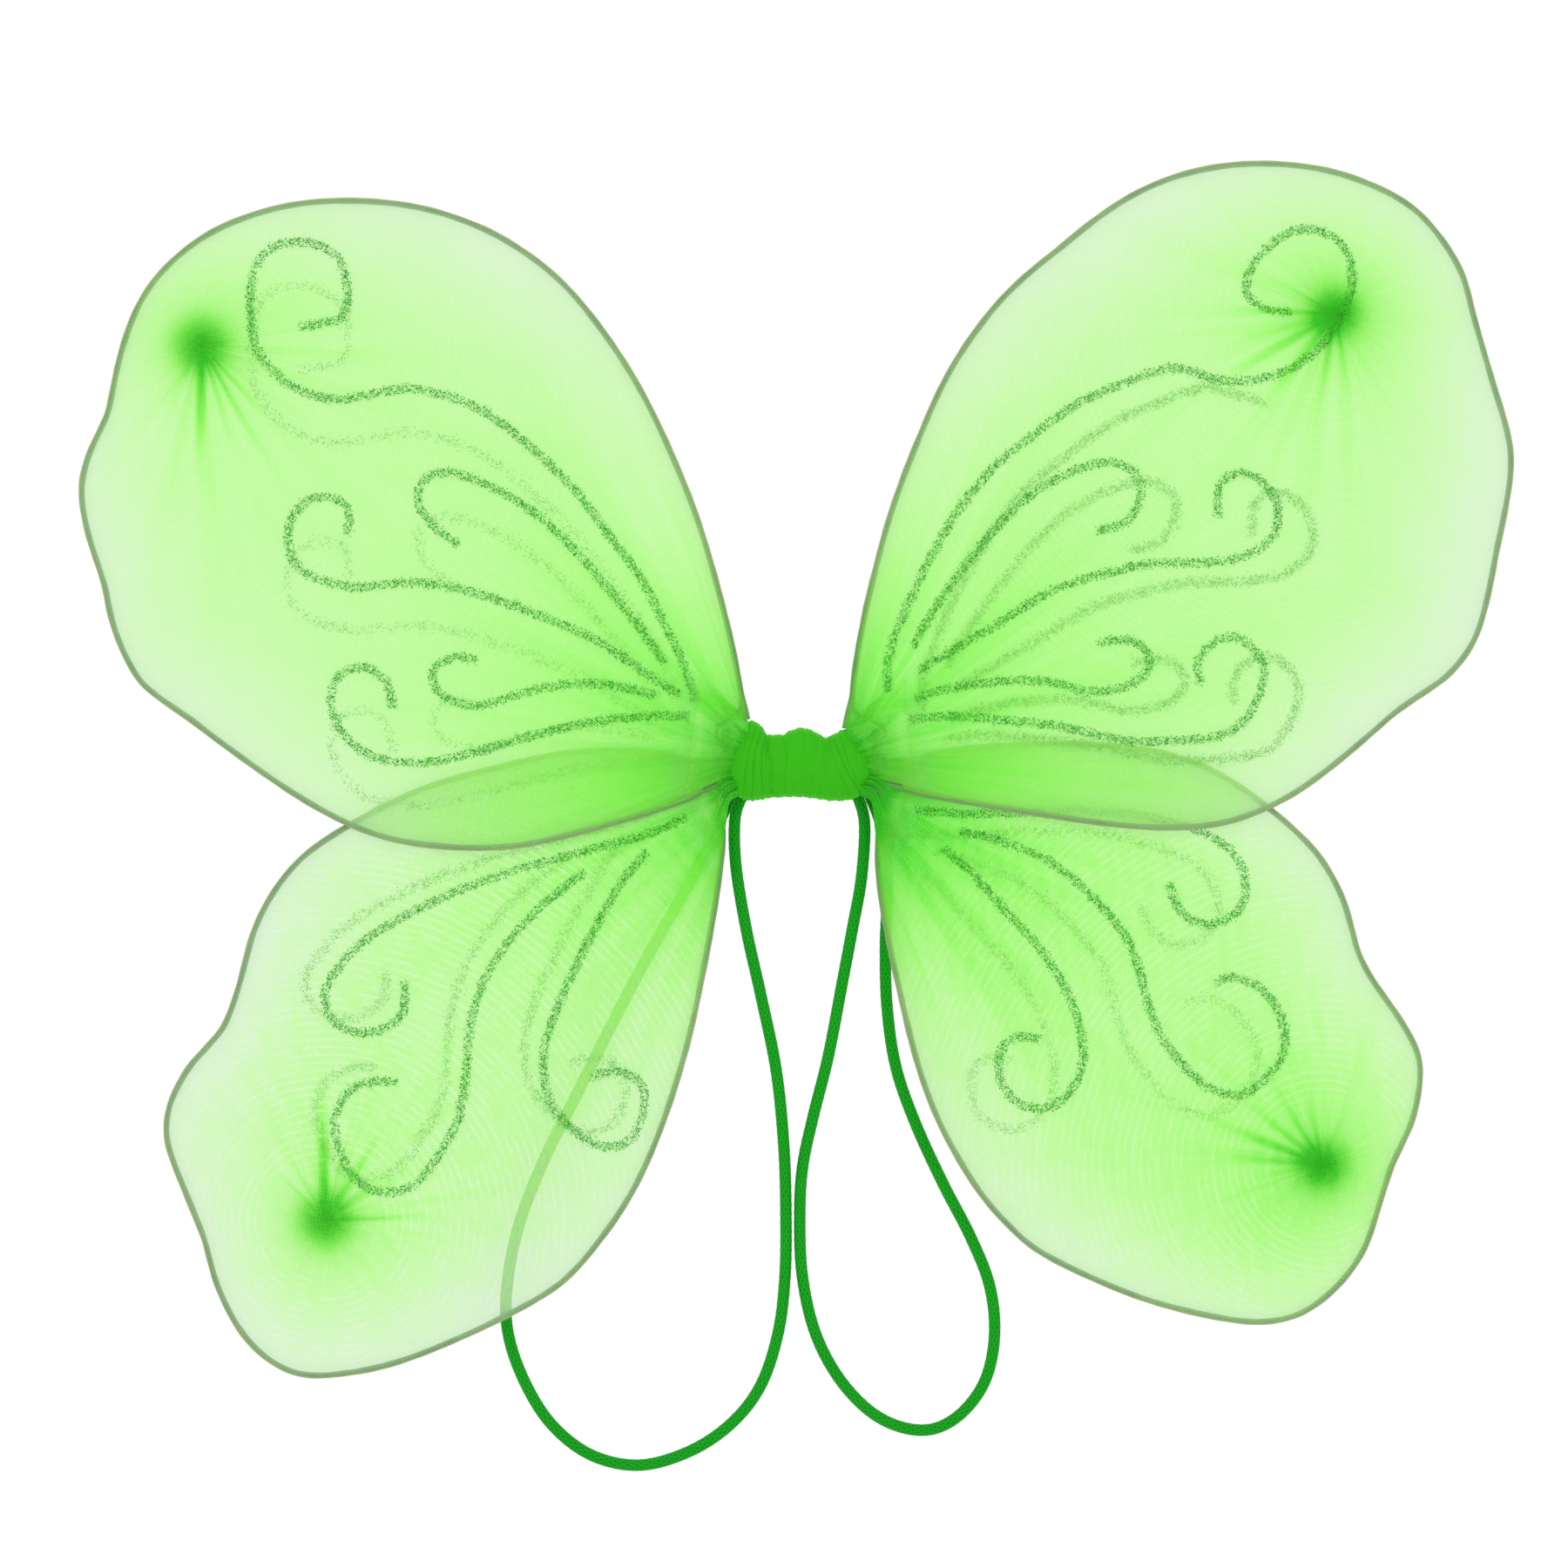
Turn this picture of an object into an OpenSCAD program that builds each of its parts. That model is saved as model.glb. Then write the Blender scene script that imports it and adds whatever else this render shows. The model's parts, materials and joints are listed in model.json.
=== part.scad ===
// Dress-up fairy wings: four wire frames covered with nylon, turning on a wrapped hub,
// with two elastic arm loops. Upright as worn: +X to the right seen from behind the wearer,
// +Z up, decorated faces towards -Y, the wearer's back at y = 0.

/* [Wing frames] */
// Diameter of the spring wire in each wing's edge
wire_d = 1.2; // [1:0.1:1.4]
// Distance from the fold axis to each wing's plane, upper in front and lower behind
wing_gap = 1.2; // [1.1:0.05:1.4]
// Width of a glitter line
glitter_w = 2.4; // [1.6:0.1:2.6]
// Height of a glitter line above the cloth
glitter_h = 0.3; // [0.2:0.05:0.4]

/* [Hub] */
// Distance from the middle of the hub to each fold axis
post_x = 21.5; // [21.3:0.1:22]
// Distance of the hub's axis from the wearer's back
hub_depth = 10.5; // [10.3:0.1:12]
// Radius of the hinge posts
post_r = 1; // [0.9:0.05:1.05]
// Radius of the rod between the posts
rod_r = 1.5; // [1.2:0.1:1.5]
// Radius over the binding tape
tape_r = 3; // [2.5:0.1:3]

/* [Tip gathers] */
// Radius of the gathered tuft behind each wing's tip
tuft_r = 3.4; // [2.6:0.1:4]
// Radius of the tuft's neck, where the thread goes round
neck_r = 1.6; // [1.2:0.1:1.8]

/* [Arm elastics] */
// Diameter of the round elastic
elastic_d = 3.4; // [2.8:0.1:3.4]
// Radius of the knot in each loop
knot_r = 4.2; // [3.8:0.1:4.2]

/* [Hidden] */
$fn = 48;

hub_y = -hub_depth;
wire_r = wire_d / 2;
running_clearance = 0.05;
eye_r = 2.2;              // outside of a frame's end eye
eye_h = 1.6;              // height of an eye along the post
inner_eye_z = 2.6;        // height of the eyes next to the rod
outer_eye_z = 7;          // height of the eyes at the post's ends
post_end_z = 9;
post_head_r = 1.35;
wire_sides = 8;
fit_gap = 0.05;           // between a wire and the cloth inside it

// One wing: its edge from the inner tail round to the outer tail, as [x, z]
upper_left_edge = [
    [-22.6, 7], [-24.2, 8.2], [-23.6, 11.4], [-20, 13.6], [-17, 17], [-18, 26], [-21.5, 42],
    [-27.5, 64], [-34, 82], [-44, 104], [-55, 122], [-68, 138], [-82, 149], [-96, 156],
    [-112, 160.5], [-131, 162], [-150, 160], [-169, 153], [-183, 142], [-191, 130], [-196, 115],
    [-199, 101], [-204, 90], [-206.5, 79], [-204.5, 66], [-200, 52], [-197, 39], [-189.5, 24],
    [-176.5, 14], [-159, 1], [-141, -11], [-122, -20], [-102, -23.5], [-80, -23], [-55, -17],
    [-37, -11.5], [-30, -8.5], [-26.2, -5.5], [-24.8, -1.5], [-24.4, 1.8], [-22.6, 2.6]
];
upper_right_edge = [
    [22.6, 7], [24.2, 8.2], [23.4, 11.4], [19, 13.2], [15.2, 16], [15.3, 25], [17.8, 40],
    [20.5, 52], [26, 72.5], [34.5, 95], [44, 115], [58, 134], [74, 148], [91, 161], [108, 169],
    [127, 172.5], [147, 171.5], [164, 166.5], [178, 158], [189, 143], [193.5, 128], [199, 109],
    [203.5, 93], [203.5, 80], [200, 62], [197, 47], [193, 35], [185, 25], [172, 16], [158, 4],
    [142, -8], [124, -16], [105, -18], [85, -16.5], [62, -13], [41, -9.5], [32, -7.5], [27, -5],
    [24.8, -1.5], [24.4, 1.8], [22.6, 2.6]
];
lower_left_edge = [
    [-22.6, -2.6], [-26, -1.5], [-35, 2], [-47, 4], [-67, 3.5], [-88, -1], [-109, -7],
    [-129, -17], [-143, -26.5], [-152, -37.5], [-157.5, -49], [-161, -62], [-166, -75.5],
    [-175, -86], [-181, -97], [-182, -108], [-177.5, -121], [-171.5, -136], [-168, -148.5],
    [-162, -161], [-154, -170], [-144, -175], [-132, -175], [-117, -172], [-101, -166],
    [-84, -158], [-69, -149], [-58, -137], [-48, -122], [-40, -104], [-33, -82], [-28.5, -62],
    [-24.5, -40], [-22.3, -22], [-23.3, -13.5], [-24.2, -10.5], [-24.2, -8], [-22.6, -7]
];
lower_right_edge = [
    [22.6, -2.6], [26, -1.5], [35, 2], [46, 4.5], [70, 6], [88, 5.5], [104, 3.5], [119, -2],
    [134, -12], [148, -25], [156, -39], [160, -53], [164.5, -62], [171.5, -72], [177, -82],
    [178, -91], [175.5, -103], [170, -115], [166, -127.5], [162, -139], [155, -149],
    [145, -157], [134, -160], [121, -159], [102, -154.5], [85, -148], [69, -140], [60, -132.5],
    [51, -122], [41, -105], [34, -87], [28.5, -65], [24.5, -46], [22.2, -28], [23, -14],
    [24.2, -10.5], [24.2, -8], [22.6, -7]
];

// The glitter lines of each wing, from the curl's middle to the hub, as [x, z]
upper_left_swirls = [
    [[-144, 126], [-132, 128], [-130, 136], [-133, 146], [-142, 150], [-151, 149], [-157, 142],
     [-158, 130], [-156, 119], [-148, 110], [-136, 105], [-125, 106], [-114, 108], [-102, 106],
     [-90, 101], [-76, 90], [-64, 78], [-55, 66], [-46, 54], [-40, 42], [-34, 30], [-30, 18]],
    [[-98, 63], [-106, 69], [-110, 76], [-108, 82], [-101, 84], [-91, 81], [-80, 75], [-69, 66],
     [-59, 55], [-49, 43], [-41, 32], [-39, 29]],
    [[-130, 66], [-130, 74], [-136, 77], [-143, 75], [-147, 68], [-146, 59], [-140, 54],
     [-129, 51], [-117, 52], [-106, 52], [-92, 49], [-75, 43], [-59, 36], [-44, 26], [-35, 20]],
    [[-93, 30], [-99, 31], [-105, 28], [-105, 22], [-99, 18], [-91, 17], [-82, 20], [-68, 23],
     [-55, 23], [-42, 20]],
    [[-117, 16], [-119, 24], [-125, 28], [-132, 26], [-135, 19], [-132, 10], [-126, 4],
     [-117, 1], [-105, 1], [-92, 4], [-78, 8], [-62, 12], [-44, 14], [-32, 14]]
];
upper_right_swirls = [
    [[141, 130], [133, 131], [128, 136], [130, 144], [137, 151], [145, 154], [154, 151],
     [158, 144], [158, 136], [154, 126], [147, 118], [137, 112], [124, 110], [115, 112],
     [106, 114], [94, 110], [80, 104], [66, 94], [54, 84], [44, 71], [36, 57], [29, 42],
     [25, 30], [25, 21]],
    [[85, 67], [94, 70], [98, 78], [96, 84], [89, 87], [80, 85], [68, 79], [57, 69], [47, 57],
     [38, 44], [32, 34]],
    [[120, 71], [120, 80], [126, 84], [133, 81], [137, 74], [136, 66], [128, 60], [116, 58],
     [102, 58], [88, 55], [72, 50], [56, 40], [42, 32], [34, 27]],
    [[85, 35], [94, 36], [100, 32], [99, 26], [92, 22], [82, 21], [71, 24], [57, 24], [43, 22],
     [33, 19]],
    [[115, 23], [114, 30], [120, 36], [127, 36], [133, 29], [132, 21], [127, 12], [119, 8],
     [106, 7], [92, 7], [75, 11], [57, 13], [43, 14], [31, 13]]
];
lower_left_swirls = [
    [[-114, -62], [-114, -71], [-120, -76], [-127, -77], [-134, -74], [-137, -67], [-134, -60],
     [-126, -51], [-113, -43], [-98, -36], [-81, -30], [-63, -25], [-44, -20], [-33, -15]],
    [[-116, -91], [-123, -91], [-130, -94], [-134, -102], [-132, -112], [-127, -120],
     [-119, -123], [-110, -120], [-104, -112], [-98, -101], [-96, -87], [-95, -75], [-91, -62],
     [-84, -51], [-74, -40], [-62, -31]],
    [[-60, -90], [-54, -88], [-46, -91], [-45, -98], [-48, -107], [-56, -110], [-64, -106],
     [-72, -97], [-74, -86], [-72, -75], [-66, -61], [-59, -47], [-51, -33], [-44, -25]]
];
lower_right_swirls = [
    [[69, -79], [62, -78], [57, -83], [58, -92], [64, -98], [73, -98], [80, -90], [81, -79],
     [77, -66], [69, -53], [59, -42], [48, -30], [41, -24]],
    [[119, -63], [124, -61], [132, -64], [138, -72], [139, -82], [134, -90], [126, -95],
     [116, -92], [108, -84], [102, -75], [98, -62], [94, -50], [84, -38], [72, -28], [58, -22],
     [46, -19]],
    [[106, -34], [109, -42], [117, -46], [126, -42], [128, -33], [123, -24], [112, -18],
     [95, -14], [75, -13], [60, -14], [46, -14], [33, -13]]
];

// Each wing in turn: [edge, swirls, plane y, gather at the tip, heights of its two eyes, side]
front_y = hub_y - wing_gap;
back_y = hub_y + wing_gap;
UPPER_LEFT = [upper_left_edge, upper_left_swirls, front_y, [-172, 120.5], [outer_eye_z, inner_eye_z], -1];
UPPER_RIGHT = [upper_right_edge, upper_right_swirls, front_y, [153.5, 129.5], [outer_eye_z, inner_eye_z], 1];
LOWER_LEFT = [lower_left_edge, lower_left_swirls, back_y, [-136.5, -131], [-inner_eye_z, -outer_eye_z], -1];
LOWER_RIGHT = [lower_right_edge, lower_right_swirls, back_y, [150, -115], [-inner_eye_z, -outer_eye_z], 1];

// The elastics' routes as [x, y, z], from the knot down the inner side and back up behind the wing
left_route = [
    [-14.5, -3.6, -6.5], [-17.5, -3.2, -10.5], [-19, -2.8, -17], [-18.5, -2.4, -30],
    [-15.5, -2, -48], [-11.5, -1.5, -66], [-7, -1, -88], [-4.8, -0.5, -110], [-4.2, 0, -130],
    [-4.5, 0.5, -148], [-6.5, 1, -164], [-11.5, 1.5, -179], [-20, 2, -190], [-32, 2, -198],
    [-46.5, 2, -202], [-60.5, 2, -199], [-72, 2, -190], [-80, 2, -177], [-84.5, 2, -163],
    [-84.5, 2, -149], [-81, 2, -132], [-74, 2, -114], [-65, 2, -96], [-56, 2, -78],
    [-48, 2, -62.5], [-40, 2, -48], [-31, 2, -32], [-24.5, 1.8, -19], [-20.5, 1, -10],
    [-17, -1.2, -3.5]
];
right_route = [
    [14.5, -3.6, -6.5], [17, -3.2, -10.5], [18.5, -2.8, -18], [17.5, -2.4, -33],
    [15, -2, -47], [12, -1.5, -63], [8, -1, -84], [3.5, -0.5, -102], [0.6, 0, -116],
    [-0.2, 0, -130], [0.5, 0.5, -147], [4, 1, -163], [10.5, 1.5, -176], [19.5, 2, -186],
    [29, 2, -191], [38.5, 2, -191.5], [47, 2, -186.5], [53.5, 2, -177], [56, 2, -164],
    [54.5, 2, -150], [49, 2, -136], [41, 2, -120.5], [33, 2, -103], [27.5, 2, -87],
    [25, 2, -70], [24.5, 2, -53], [25, 2, -36], [23.8, 1.8, -20], [20.5, 1, -10],
    [17, -1.2, -3.5]
];
elastic_rings = 40;
knot_x = 14;
knot_y = -knot_r;
knot_z = -4;

// The wrap's turns as thin slices [x, middle z, half height, half depth]
left_wrap = [[-19, 0, 7, 4.6], [-17.5, 0.3, 9.3, 6], [-14.5, 0.8, 11, 7], [-11.5, 0.7, 10.8, 6.8], [-10.4, 0.2, 9, 6]];
centre_wrap = [[-10.1, -0.6, 8.6, 6], [-5, -0.3, 9, 6.4], [0, 0.2, 9.7, 6.8], [5, -0.5, 9.2, 6.4], [7.9, -1.1, 8.2, 6]];
right_wrap = [[8.2, -1.1, 8.2, 6], [12, -0.4, 9.5, 6.8], [16, -0.5, 8.6, 6], [19, -0.3, 6.2, 4.4]];
wrap_slice = 0.2;
tape_half = 18;

// A smooth curve through points p, at t from 0 to the last point's number
function clamp_at(p, i) = p[max(0, min(len(p) - 1, i))];
function curve_at(p, t) =
    let (i = min(floor(t), len(p) - 2), u = t - i,
         a = clamp_at(p, i - 1), b = p[i], c = p[i + 1], d = clamp_at(p, i + 2))
    0.5 * (2 * b + (c - a) * u + (2 * a - 5 * b + 4 * c - d) * u * u
           + (3 * b - a - 3 * c + d) * u * u * u);
function curve(p, steps) = [for (k = [0 : steps]) curve_at(p, k * (len(p) - 1) / steps)];
function unit(v) = v / norm(v);
function heading(p, i) = unit(clamp_at(p, i + 1) - clamp_at(p, i - 1));

// The flat curve p moved sideways by d, to its right when d is positive
function beside(p, d) = [for (i = [0 : len(p) - 1]) let (h = heading(p, i)) p[i] + d * [h[1], -h[0]]];

// A round tube of radius r along the points in path, which never run along Y
module tube(path, r, sides) {
    last = len(path) - 1;
    points = [
        for (i = [0 : last])
            let (t = heading(path, i), b = unit(cross(t, [0, 1, 0])), n = cross(b, t))
            for (k = [0 : sides - 1])
                path[i] + r * (cos(360 * k / sides) * b + sin(360 * k / sides) * n)
    ];
    walls = [
        for (i = [0 : last - 1]) for (k = [0 : sides - 1])
            let (a = i * sides + k, b = i * sides + (k + 1) % sides)
            for (f = [[a, b, a + sides], [b, b + sides, a + sides]]) f
    ];
    start_cap = [for (k = [sides - 1 : -1 : 0]) k];
    end_cap = [for (k = [0 : sides - 1]) last * sides + k];
    polyhedron(points, concat(walls, [start_cap], [end_cap]));
}

// A flat [x, z] outline with its rear face at y and its thickness towards -Y
module slab(y, thickness) {
    translate([0, y, 0]) rotate([90, 0, 0]) linear_extrude(thickness) children();
}

function edge_curve(wing) = curve(wing[0], 2 * (len(wing[0]) - 1));

module frame(wing) {
    post = [wing[5] * post_x, hub_y, 0];
    color("darkseagreen") difference() {
        union() {
            tube([for (p = edge_curve(wing)) [p[0], wing[2], p[1]]], wire_r, wire_sides);
            for (z = wing[4]) translate(post + [0, 0, z]) cylinder(r = eye_r, h = eye_h, center = true);
        }
        for (z = wing[4])
            translate(post + [0, 0, z])
                cylinder(r = post_r + running_clearance, h = 2 * eye_h, center = true);
    }
}

module sleeve(wing) {
    edge = edge_curve(wing);
    upper = wing[4][0] > 0;
    neck_start = upper ? 9 : 4;       // the edge's samples beside the eyes, left open for the posts
    neck_end = upper ? 7 : 4;
    inset = beside(edge, wing[5] * (wire_r + fit_gap));
    cloth = [for (i = [neck_start : len(edge) - 1 - neck_end]) inset[i]];
    mouth = upper ? [[wing[5] * 26.3, -1], [wing[5] * 25.6, 12.5]] : [];   // clear of the wire's tails
    color("palegreen") slab(wing[2] + wire_r, wire_d) polygon(concat(cloth, mouth));
}

// The gathered end of a sleeve, tied off behind the wing
module tuft(wing) {
    tie_length = 1.4;
    color("limegreen")
        translate([wing[3][0], wing[2] + wire_r, wing[3][1]]) rotate([-90, 0, 0]) rotate_extrude()
            polygon([[0, 0], [neck_r, 0], [neck_r, tie_length], [tuft_r * 0.8, tie_length + 0.6],
                     [tuft_r, tie_length + 1.6], [tuft_r * 0.85, tie_length + 2.8],
                     [tuft_r * 0.45, tie_length + 3.5], [0, tie_length + 3.7]]);
}

module tie(wing) {
    color("seagreen")
        translate([wing[3][0], wing[2] + wire_r + 0.7, wing[3][1]]) rotate([90, 0, 0])
            rotate_extrude() translate([neck_r + 0.4, 0]) square([0.7, 1.1], center = true);
}

module glitter(wing) {
    color("forestgreen")
        for (swirl = wing[1]) {
            line = curve(swirl, 2 * (len(swirl) - 1));
            left = beside(line, -glitter_w / 2);
            right = beside(line, glitter_w / 2);
            slab(wing[2] - wire_r, glitter_h)
                polygon(concat(left, [for (i = [len(right) - 1 : -1 : 0]) right[i]]));
        }
}

module core_wire() {
    color("darkgray") {
        translate([0, hub_y, 0]) rotate([0, 90, 0]) cylinder(r = rod_r, h = 2 * post_x, center = true);
        for (side = [-1, 1]) translate([side * post_x, hub_y, 0]) {
            cylinder(r = post_r, h = 2 * post_end_z, center = true);
            for (end = [-1, 1]) translate([0, 0, end * post_end_z]) sphere(post_head_r);
        }
    }
}

module binding_tape() {
    color("white") translate([0, hub_y, 0]) rotate([0, 90, 0]) difference() {
        cylinder(r = tape_r, h = 2 * tape_half, center = true);
        cylinder(r = rod_r, h = 2 * tape_half + 1, center = true);
    }
}

module elastic_knot(side, clearance = 0) {
    color("green") translate([side * knot_x, knot_y, knot_z]) sphere(knot_r + clearance);
}

// One turn of the hub's wrap, hollow for the tape, with room behind for the knots
module wrap(slices) {
    color("limegreen") difference() {
        hull() for (s = slices)
            translate([s[0], hub_y, s[1]]) rotate([0, 90, 0]) scale([s[2], s[3], 1])
                cylinder(r = 1, h = wrap_slice, center = true, $fn = 32);
        translate([0, hub_y, 0]) rotate([0, 90, 0]) cylinder(r = tape_r, h = 3 * post_x, center = true);
        for (side = [-1, 1]) elastic_knot(side, 0.1);
    }
}

module elastic(route) {
    color("green") tube(curve(route, elastic_rings), elastic_d / 2, wire_sides);
}

core_wire();
binding_tape();
wrap(left_wrap);  // hub_wrap_left
wrap(centre_wrap);  // hub_wrap_centre
wrap(right_wrap);  // hub_wrap_right
elastic(left_route);  // elastic_left
elastic(right_route);  // elastic_right
elastic_knot(-1);  // elastic_knot_left
elastic_knot(1);  // elastic_knot_right
frame(UPPER_LEFT);  // upper_left_frame
sleeve(UPPER_LEFT);  // upper_left_sleeve
tuft(UPPER_LEFT);  // upper_left_tuft
tie(UPPER_LEFT);  // upper_left_tie
glitter(UPPER_LEFT);  // upper_left_glitter
frame(UPPER_RIGHT);  // upper_right_frame
sleeve(UPPER_RIGHT);  // upper_right_sleeve
tuft(UPPER_RIGHT);  // upper_right_tuft
tie(UPPER_RIGHT);  // upper_right_tie
glitter(UPPER_RIGHT);  // upper_right_glitter
frame(LOWER_LEFT);  // lower_left_frame
sleeve(LOWER_LEFT);  // lower_left_sleeve
tuft(LOWER_LEFT);  // lower_left_tuft
tie(LOWER_LEFT);  // lower_left_tie
glitter(LOWER_LEFT);  // lower_left_glitter
frame(LOWER_RIGHT);  // lower_right_frame
sleeve(LOWER_RIGHT);  // lower_right_sleeve
tuft(LOWER_RIGHT);  // lower_right_tuft
tie(LOWER_RIGHT);  // lower_right_tie
glitter(LOWER_RIGHT);  // lower_right_glitter
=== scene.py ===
"""Dress-up fairy wings: sheer nylon on wire frames, glitter swirls, a wrapped hub and two arm elastics."""

import json
import math

import bpy
import numpy as np
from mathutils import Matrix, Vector
from mathutils.geometry import delaunay_2d_cdt


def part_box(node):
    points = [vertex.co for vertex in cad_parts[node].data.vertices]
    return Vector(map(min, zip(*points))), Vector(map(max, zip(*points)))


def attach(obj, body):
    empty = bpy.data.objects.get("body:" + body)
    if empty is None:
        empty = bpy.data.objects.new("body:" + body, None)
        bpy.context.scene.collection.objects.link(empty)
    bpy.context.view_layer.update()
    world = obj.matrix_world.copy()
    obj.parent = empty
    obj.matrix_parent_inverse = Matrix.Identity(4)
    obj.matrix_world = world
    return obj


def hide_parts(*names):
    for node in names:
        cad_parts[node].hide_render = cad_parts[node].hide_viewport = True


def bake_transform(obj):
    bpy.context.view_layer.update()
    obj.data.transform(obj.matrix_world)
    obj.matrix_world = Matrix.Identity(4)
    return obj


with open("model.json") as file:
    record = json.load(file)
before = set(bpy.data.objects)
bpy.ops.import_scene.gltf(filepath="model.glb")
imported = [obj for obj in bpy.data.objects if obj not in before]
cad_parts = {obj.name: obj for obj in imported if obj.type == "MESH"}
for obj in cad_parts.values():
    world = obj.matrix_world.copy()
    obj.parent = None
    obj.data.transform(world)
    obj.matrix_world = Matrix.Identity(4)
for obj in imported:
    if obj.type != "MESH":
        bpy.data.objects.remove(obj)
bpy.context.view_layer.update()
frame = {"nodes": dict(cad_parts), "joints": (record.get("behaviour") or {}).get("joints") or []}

MM = 0.001
rng = np.random.RandomState(11)

# ---- camera and elastics

VIEW_WIDTH = 450 * MM          # what the picture's width covers, at the wings
VIEW_CENTRE = Vector((-4.75 * MM, 0, -5.5 * MM))
CAMERA_DISTANCE = 3.0

camera_data = bpy.data.cameras.new("camera")
camera_data.sensor_width = 36
camera_data.clip_end = 50
wing_plane_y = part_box("binding_tape")[0].y
camera_data.lens = 36 * (CAMERA_DISTANCE + wing_plane_y) / VIEW_WIDTH
camera = bpy.data.objects.new("camera", camera_data)
camera.location = VIEW_CENTRE + Vector((0, -CAMERA_DISTANCE, 0))
camera.rotation_euler = (math.radians(90), 0, 0)
bpy.context.scene.collection.objects.link(camera)
bpy.context.scene.camera = camera

# Routes of the elastics in mm, from the knot down the inner side and back up behind the wing
LEFT_ROUTE = [
    (-14.5, -3.6, -6.5), (-17.5, -3.2, -10.5), (-19, -2.8, -17), (-18.5, -2.4, -30), (-15.5, -2, -48),
    (-11.5, -1.5, -66), (-7, -1, -88), (-4.8, -0.5, -110), (-4.2, 0, -130), (-4.5, 0.5, -148),
    (-6.5, 1, -164), (-11.5, 1.5, -179), (-20, 2, -190), (-32, 2, -198), (-46.5, 2, -202),
    (-60.5, 2, -199), (-72, 2, -190), (-80, 2, -177), (-84.5, 2, -163), (-84.5, 2, -149), (-81, 2, -132),
    (-74, 2, -114), (-65, 2, -96), (-56, 2, -78), (-48, 2, -62.5), (-40, 2, -48), (-31, 2, -32),
    (-24.5, 1.8, -19), (-20.5, 1, -10), (-17, -1.2, -3.5),
]
RIGHT_ROUTE = [
    (14.5, -3.6, -6.5), (17, -3.2, -10.5), (18.5, -2.8, -18), (17.5, -2.4, -33), (15, -2, -47),
    (12, -1.5, -63), (8, -1, -84), (3.5, -0.5, -102), (0.6, 0, -116), (-0.2, 0, -130), (0.5, 0.5, -147),
    (4, 1, -163), (10.5, 1.5, -176), (19.5, 2, -186), (29, 2, -191), (38.5, 2, -191.5), (47, 2, -186.5),
    (53.5, 2, -177), (56, 2, -164), (54.5, 2, -150), (49, 2, -136), (41, 2, -120.5), (33, 2, -103),
    (27.5, 2, -87), (25, 2, -70), (24.5, 2, -53), (25, 2, -36), (23.8, 1.8, -20), (20.5, 1, -10),
    (17, -1.2, -3.5),
]
ELASTIC_D = 3.4 * MM
BRAID_PITCH = 2.6 * MM


def curve_through(points, steps):
    """steps points for each gap along a smooth open curve through points."""
    p = np.array(points, float)
    n = len(p)
    out = []
    for i in range(n - 1):
        a, b, c, d = (p[min(max(k, 0), n - 1)] for k in (i - 1, i, i + 1, i + 2))
        for s in range(steps):
            u = s / steps
            out.append(0.5 * (2 * b + (c - a) * u + (2 * a - 5 * b + 4 * c - d) * u * u
                              + (3 * b - a - 3 * c + d) * u ** 3))
    out.append(p[-1])
    return np.array(out)


def smooth(t):
    """0 to 1 as t goes from 0 to 1, without corners."""
    t = np.clip(t, 0, 1)
    return t * t * (3 - 2 * t)


def evenly(points, spacing):
    """The line through points, sampled again at about this spacing."""
    p = np.array(points, float)
    length = np.concatenate([[0], np.cumsum(np.linalg.norm(np.diff(p, axis=0), axis=1))])
    count = max(2, int(round(length[-1] / spacing)) + 1)
    at = np.linspace(0, length[-1], count)
    return np.stack([np.interp(at, length, p[:, k]) for k in range(p.shape[1])], axis=1)


def unit_rows(v):
    """Each row scaled to length 1."""
    return v / np.maximum(np.linalg.norm(v, axis=-1, keepdims=True), 1e-12)


def mesh_object(name, verts, faces, material, smooth=True, **attributes):
    """A mesh piece. Each attribute is an array of one number or one vector for each vertex."""
    mesh = bpy.data.meshes.new(name)
    mesh.from_pydata([tuple(v) for v in verts], [], [tuple(int(i) for i in f) for f in faces])
    mesh.update()
    mesh.polygons.foreach_set("use_smooth", [smooth] * len(mesh.polygons))
    rest = np.array(verts, float)
    for key, values in {"rest": rest, **attributes}.items():
        values = np.array(values, np.float32)
        kind, field = ("FLOAT_VECTOR", "vector") if values.ndim == 2 else ("FLOAT", "value")
        mesh.attributes.new(key, kind, "POINT").data.foreach_set(field, values.ravel())
    mesh.materials.append(material)
    obj = bpy.data.objects.new(name, mesh)
    bpy.context.scene.collection.objects.link(obj)
    return obj


def skin(path, side, up, radius, sides, shape=None):
    """Verts, faces and (along, around) of a capped tube. shape(along, around) scales its radius."""
    along = np.concatenate([[0], np.cumsum(np.linalg.norm(np.diff(path, axis=0), axis=1))])
    verts, alongs, arounds = [], [], []
    for i in range(len(path)):
        for k in range(sides):
            a = 2 * math.pi * k / sides
            r = radius * (shape(along[i], a) if shape else 1)
            verts.append(path[i] + r * (math.cos(a) * side[i] + math.sin(a) * up[i]))
            alongs.append(along[i])
            arounds.append(a)
    faces = []
    for i in range(len(path) - 1):
        for k in range(sides):
            m = (k + 1) % sides
            faces.append((i * sides + k, (i + 1) * sides + k, (i + 1) * sides + m, i * sides + m))
    faces.append(tuple(range(sides)))
    faces.append(tuple((len(path) - 1) * sides + k for k in reversed(range(sides))))
    return verts, faces, np.array(alongs), np.array(arounds)


def tube_mesh(path, radius, sides, shape=None):
    """A tube along a path that lies nearly flat in the wings' plane."""
    path = np.array(path, float)
    heading = unit_rows(np.gradient(path, axis=0))
    side = unit_rows(np.cross(heading, [0, 1, 0]))
    return skin(path, side, np.cross(side, heading), radius, sides, shape)


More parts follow.
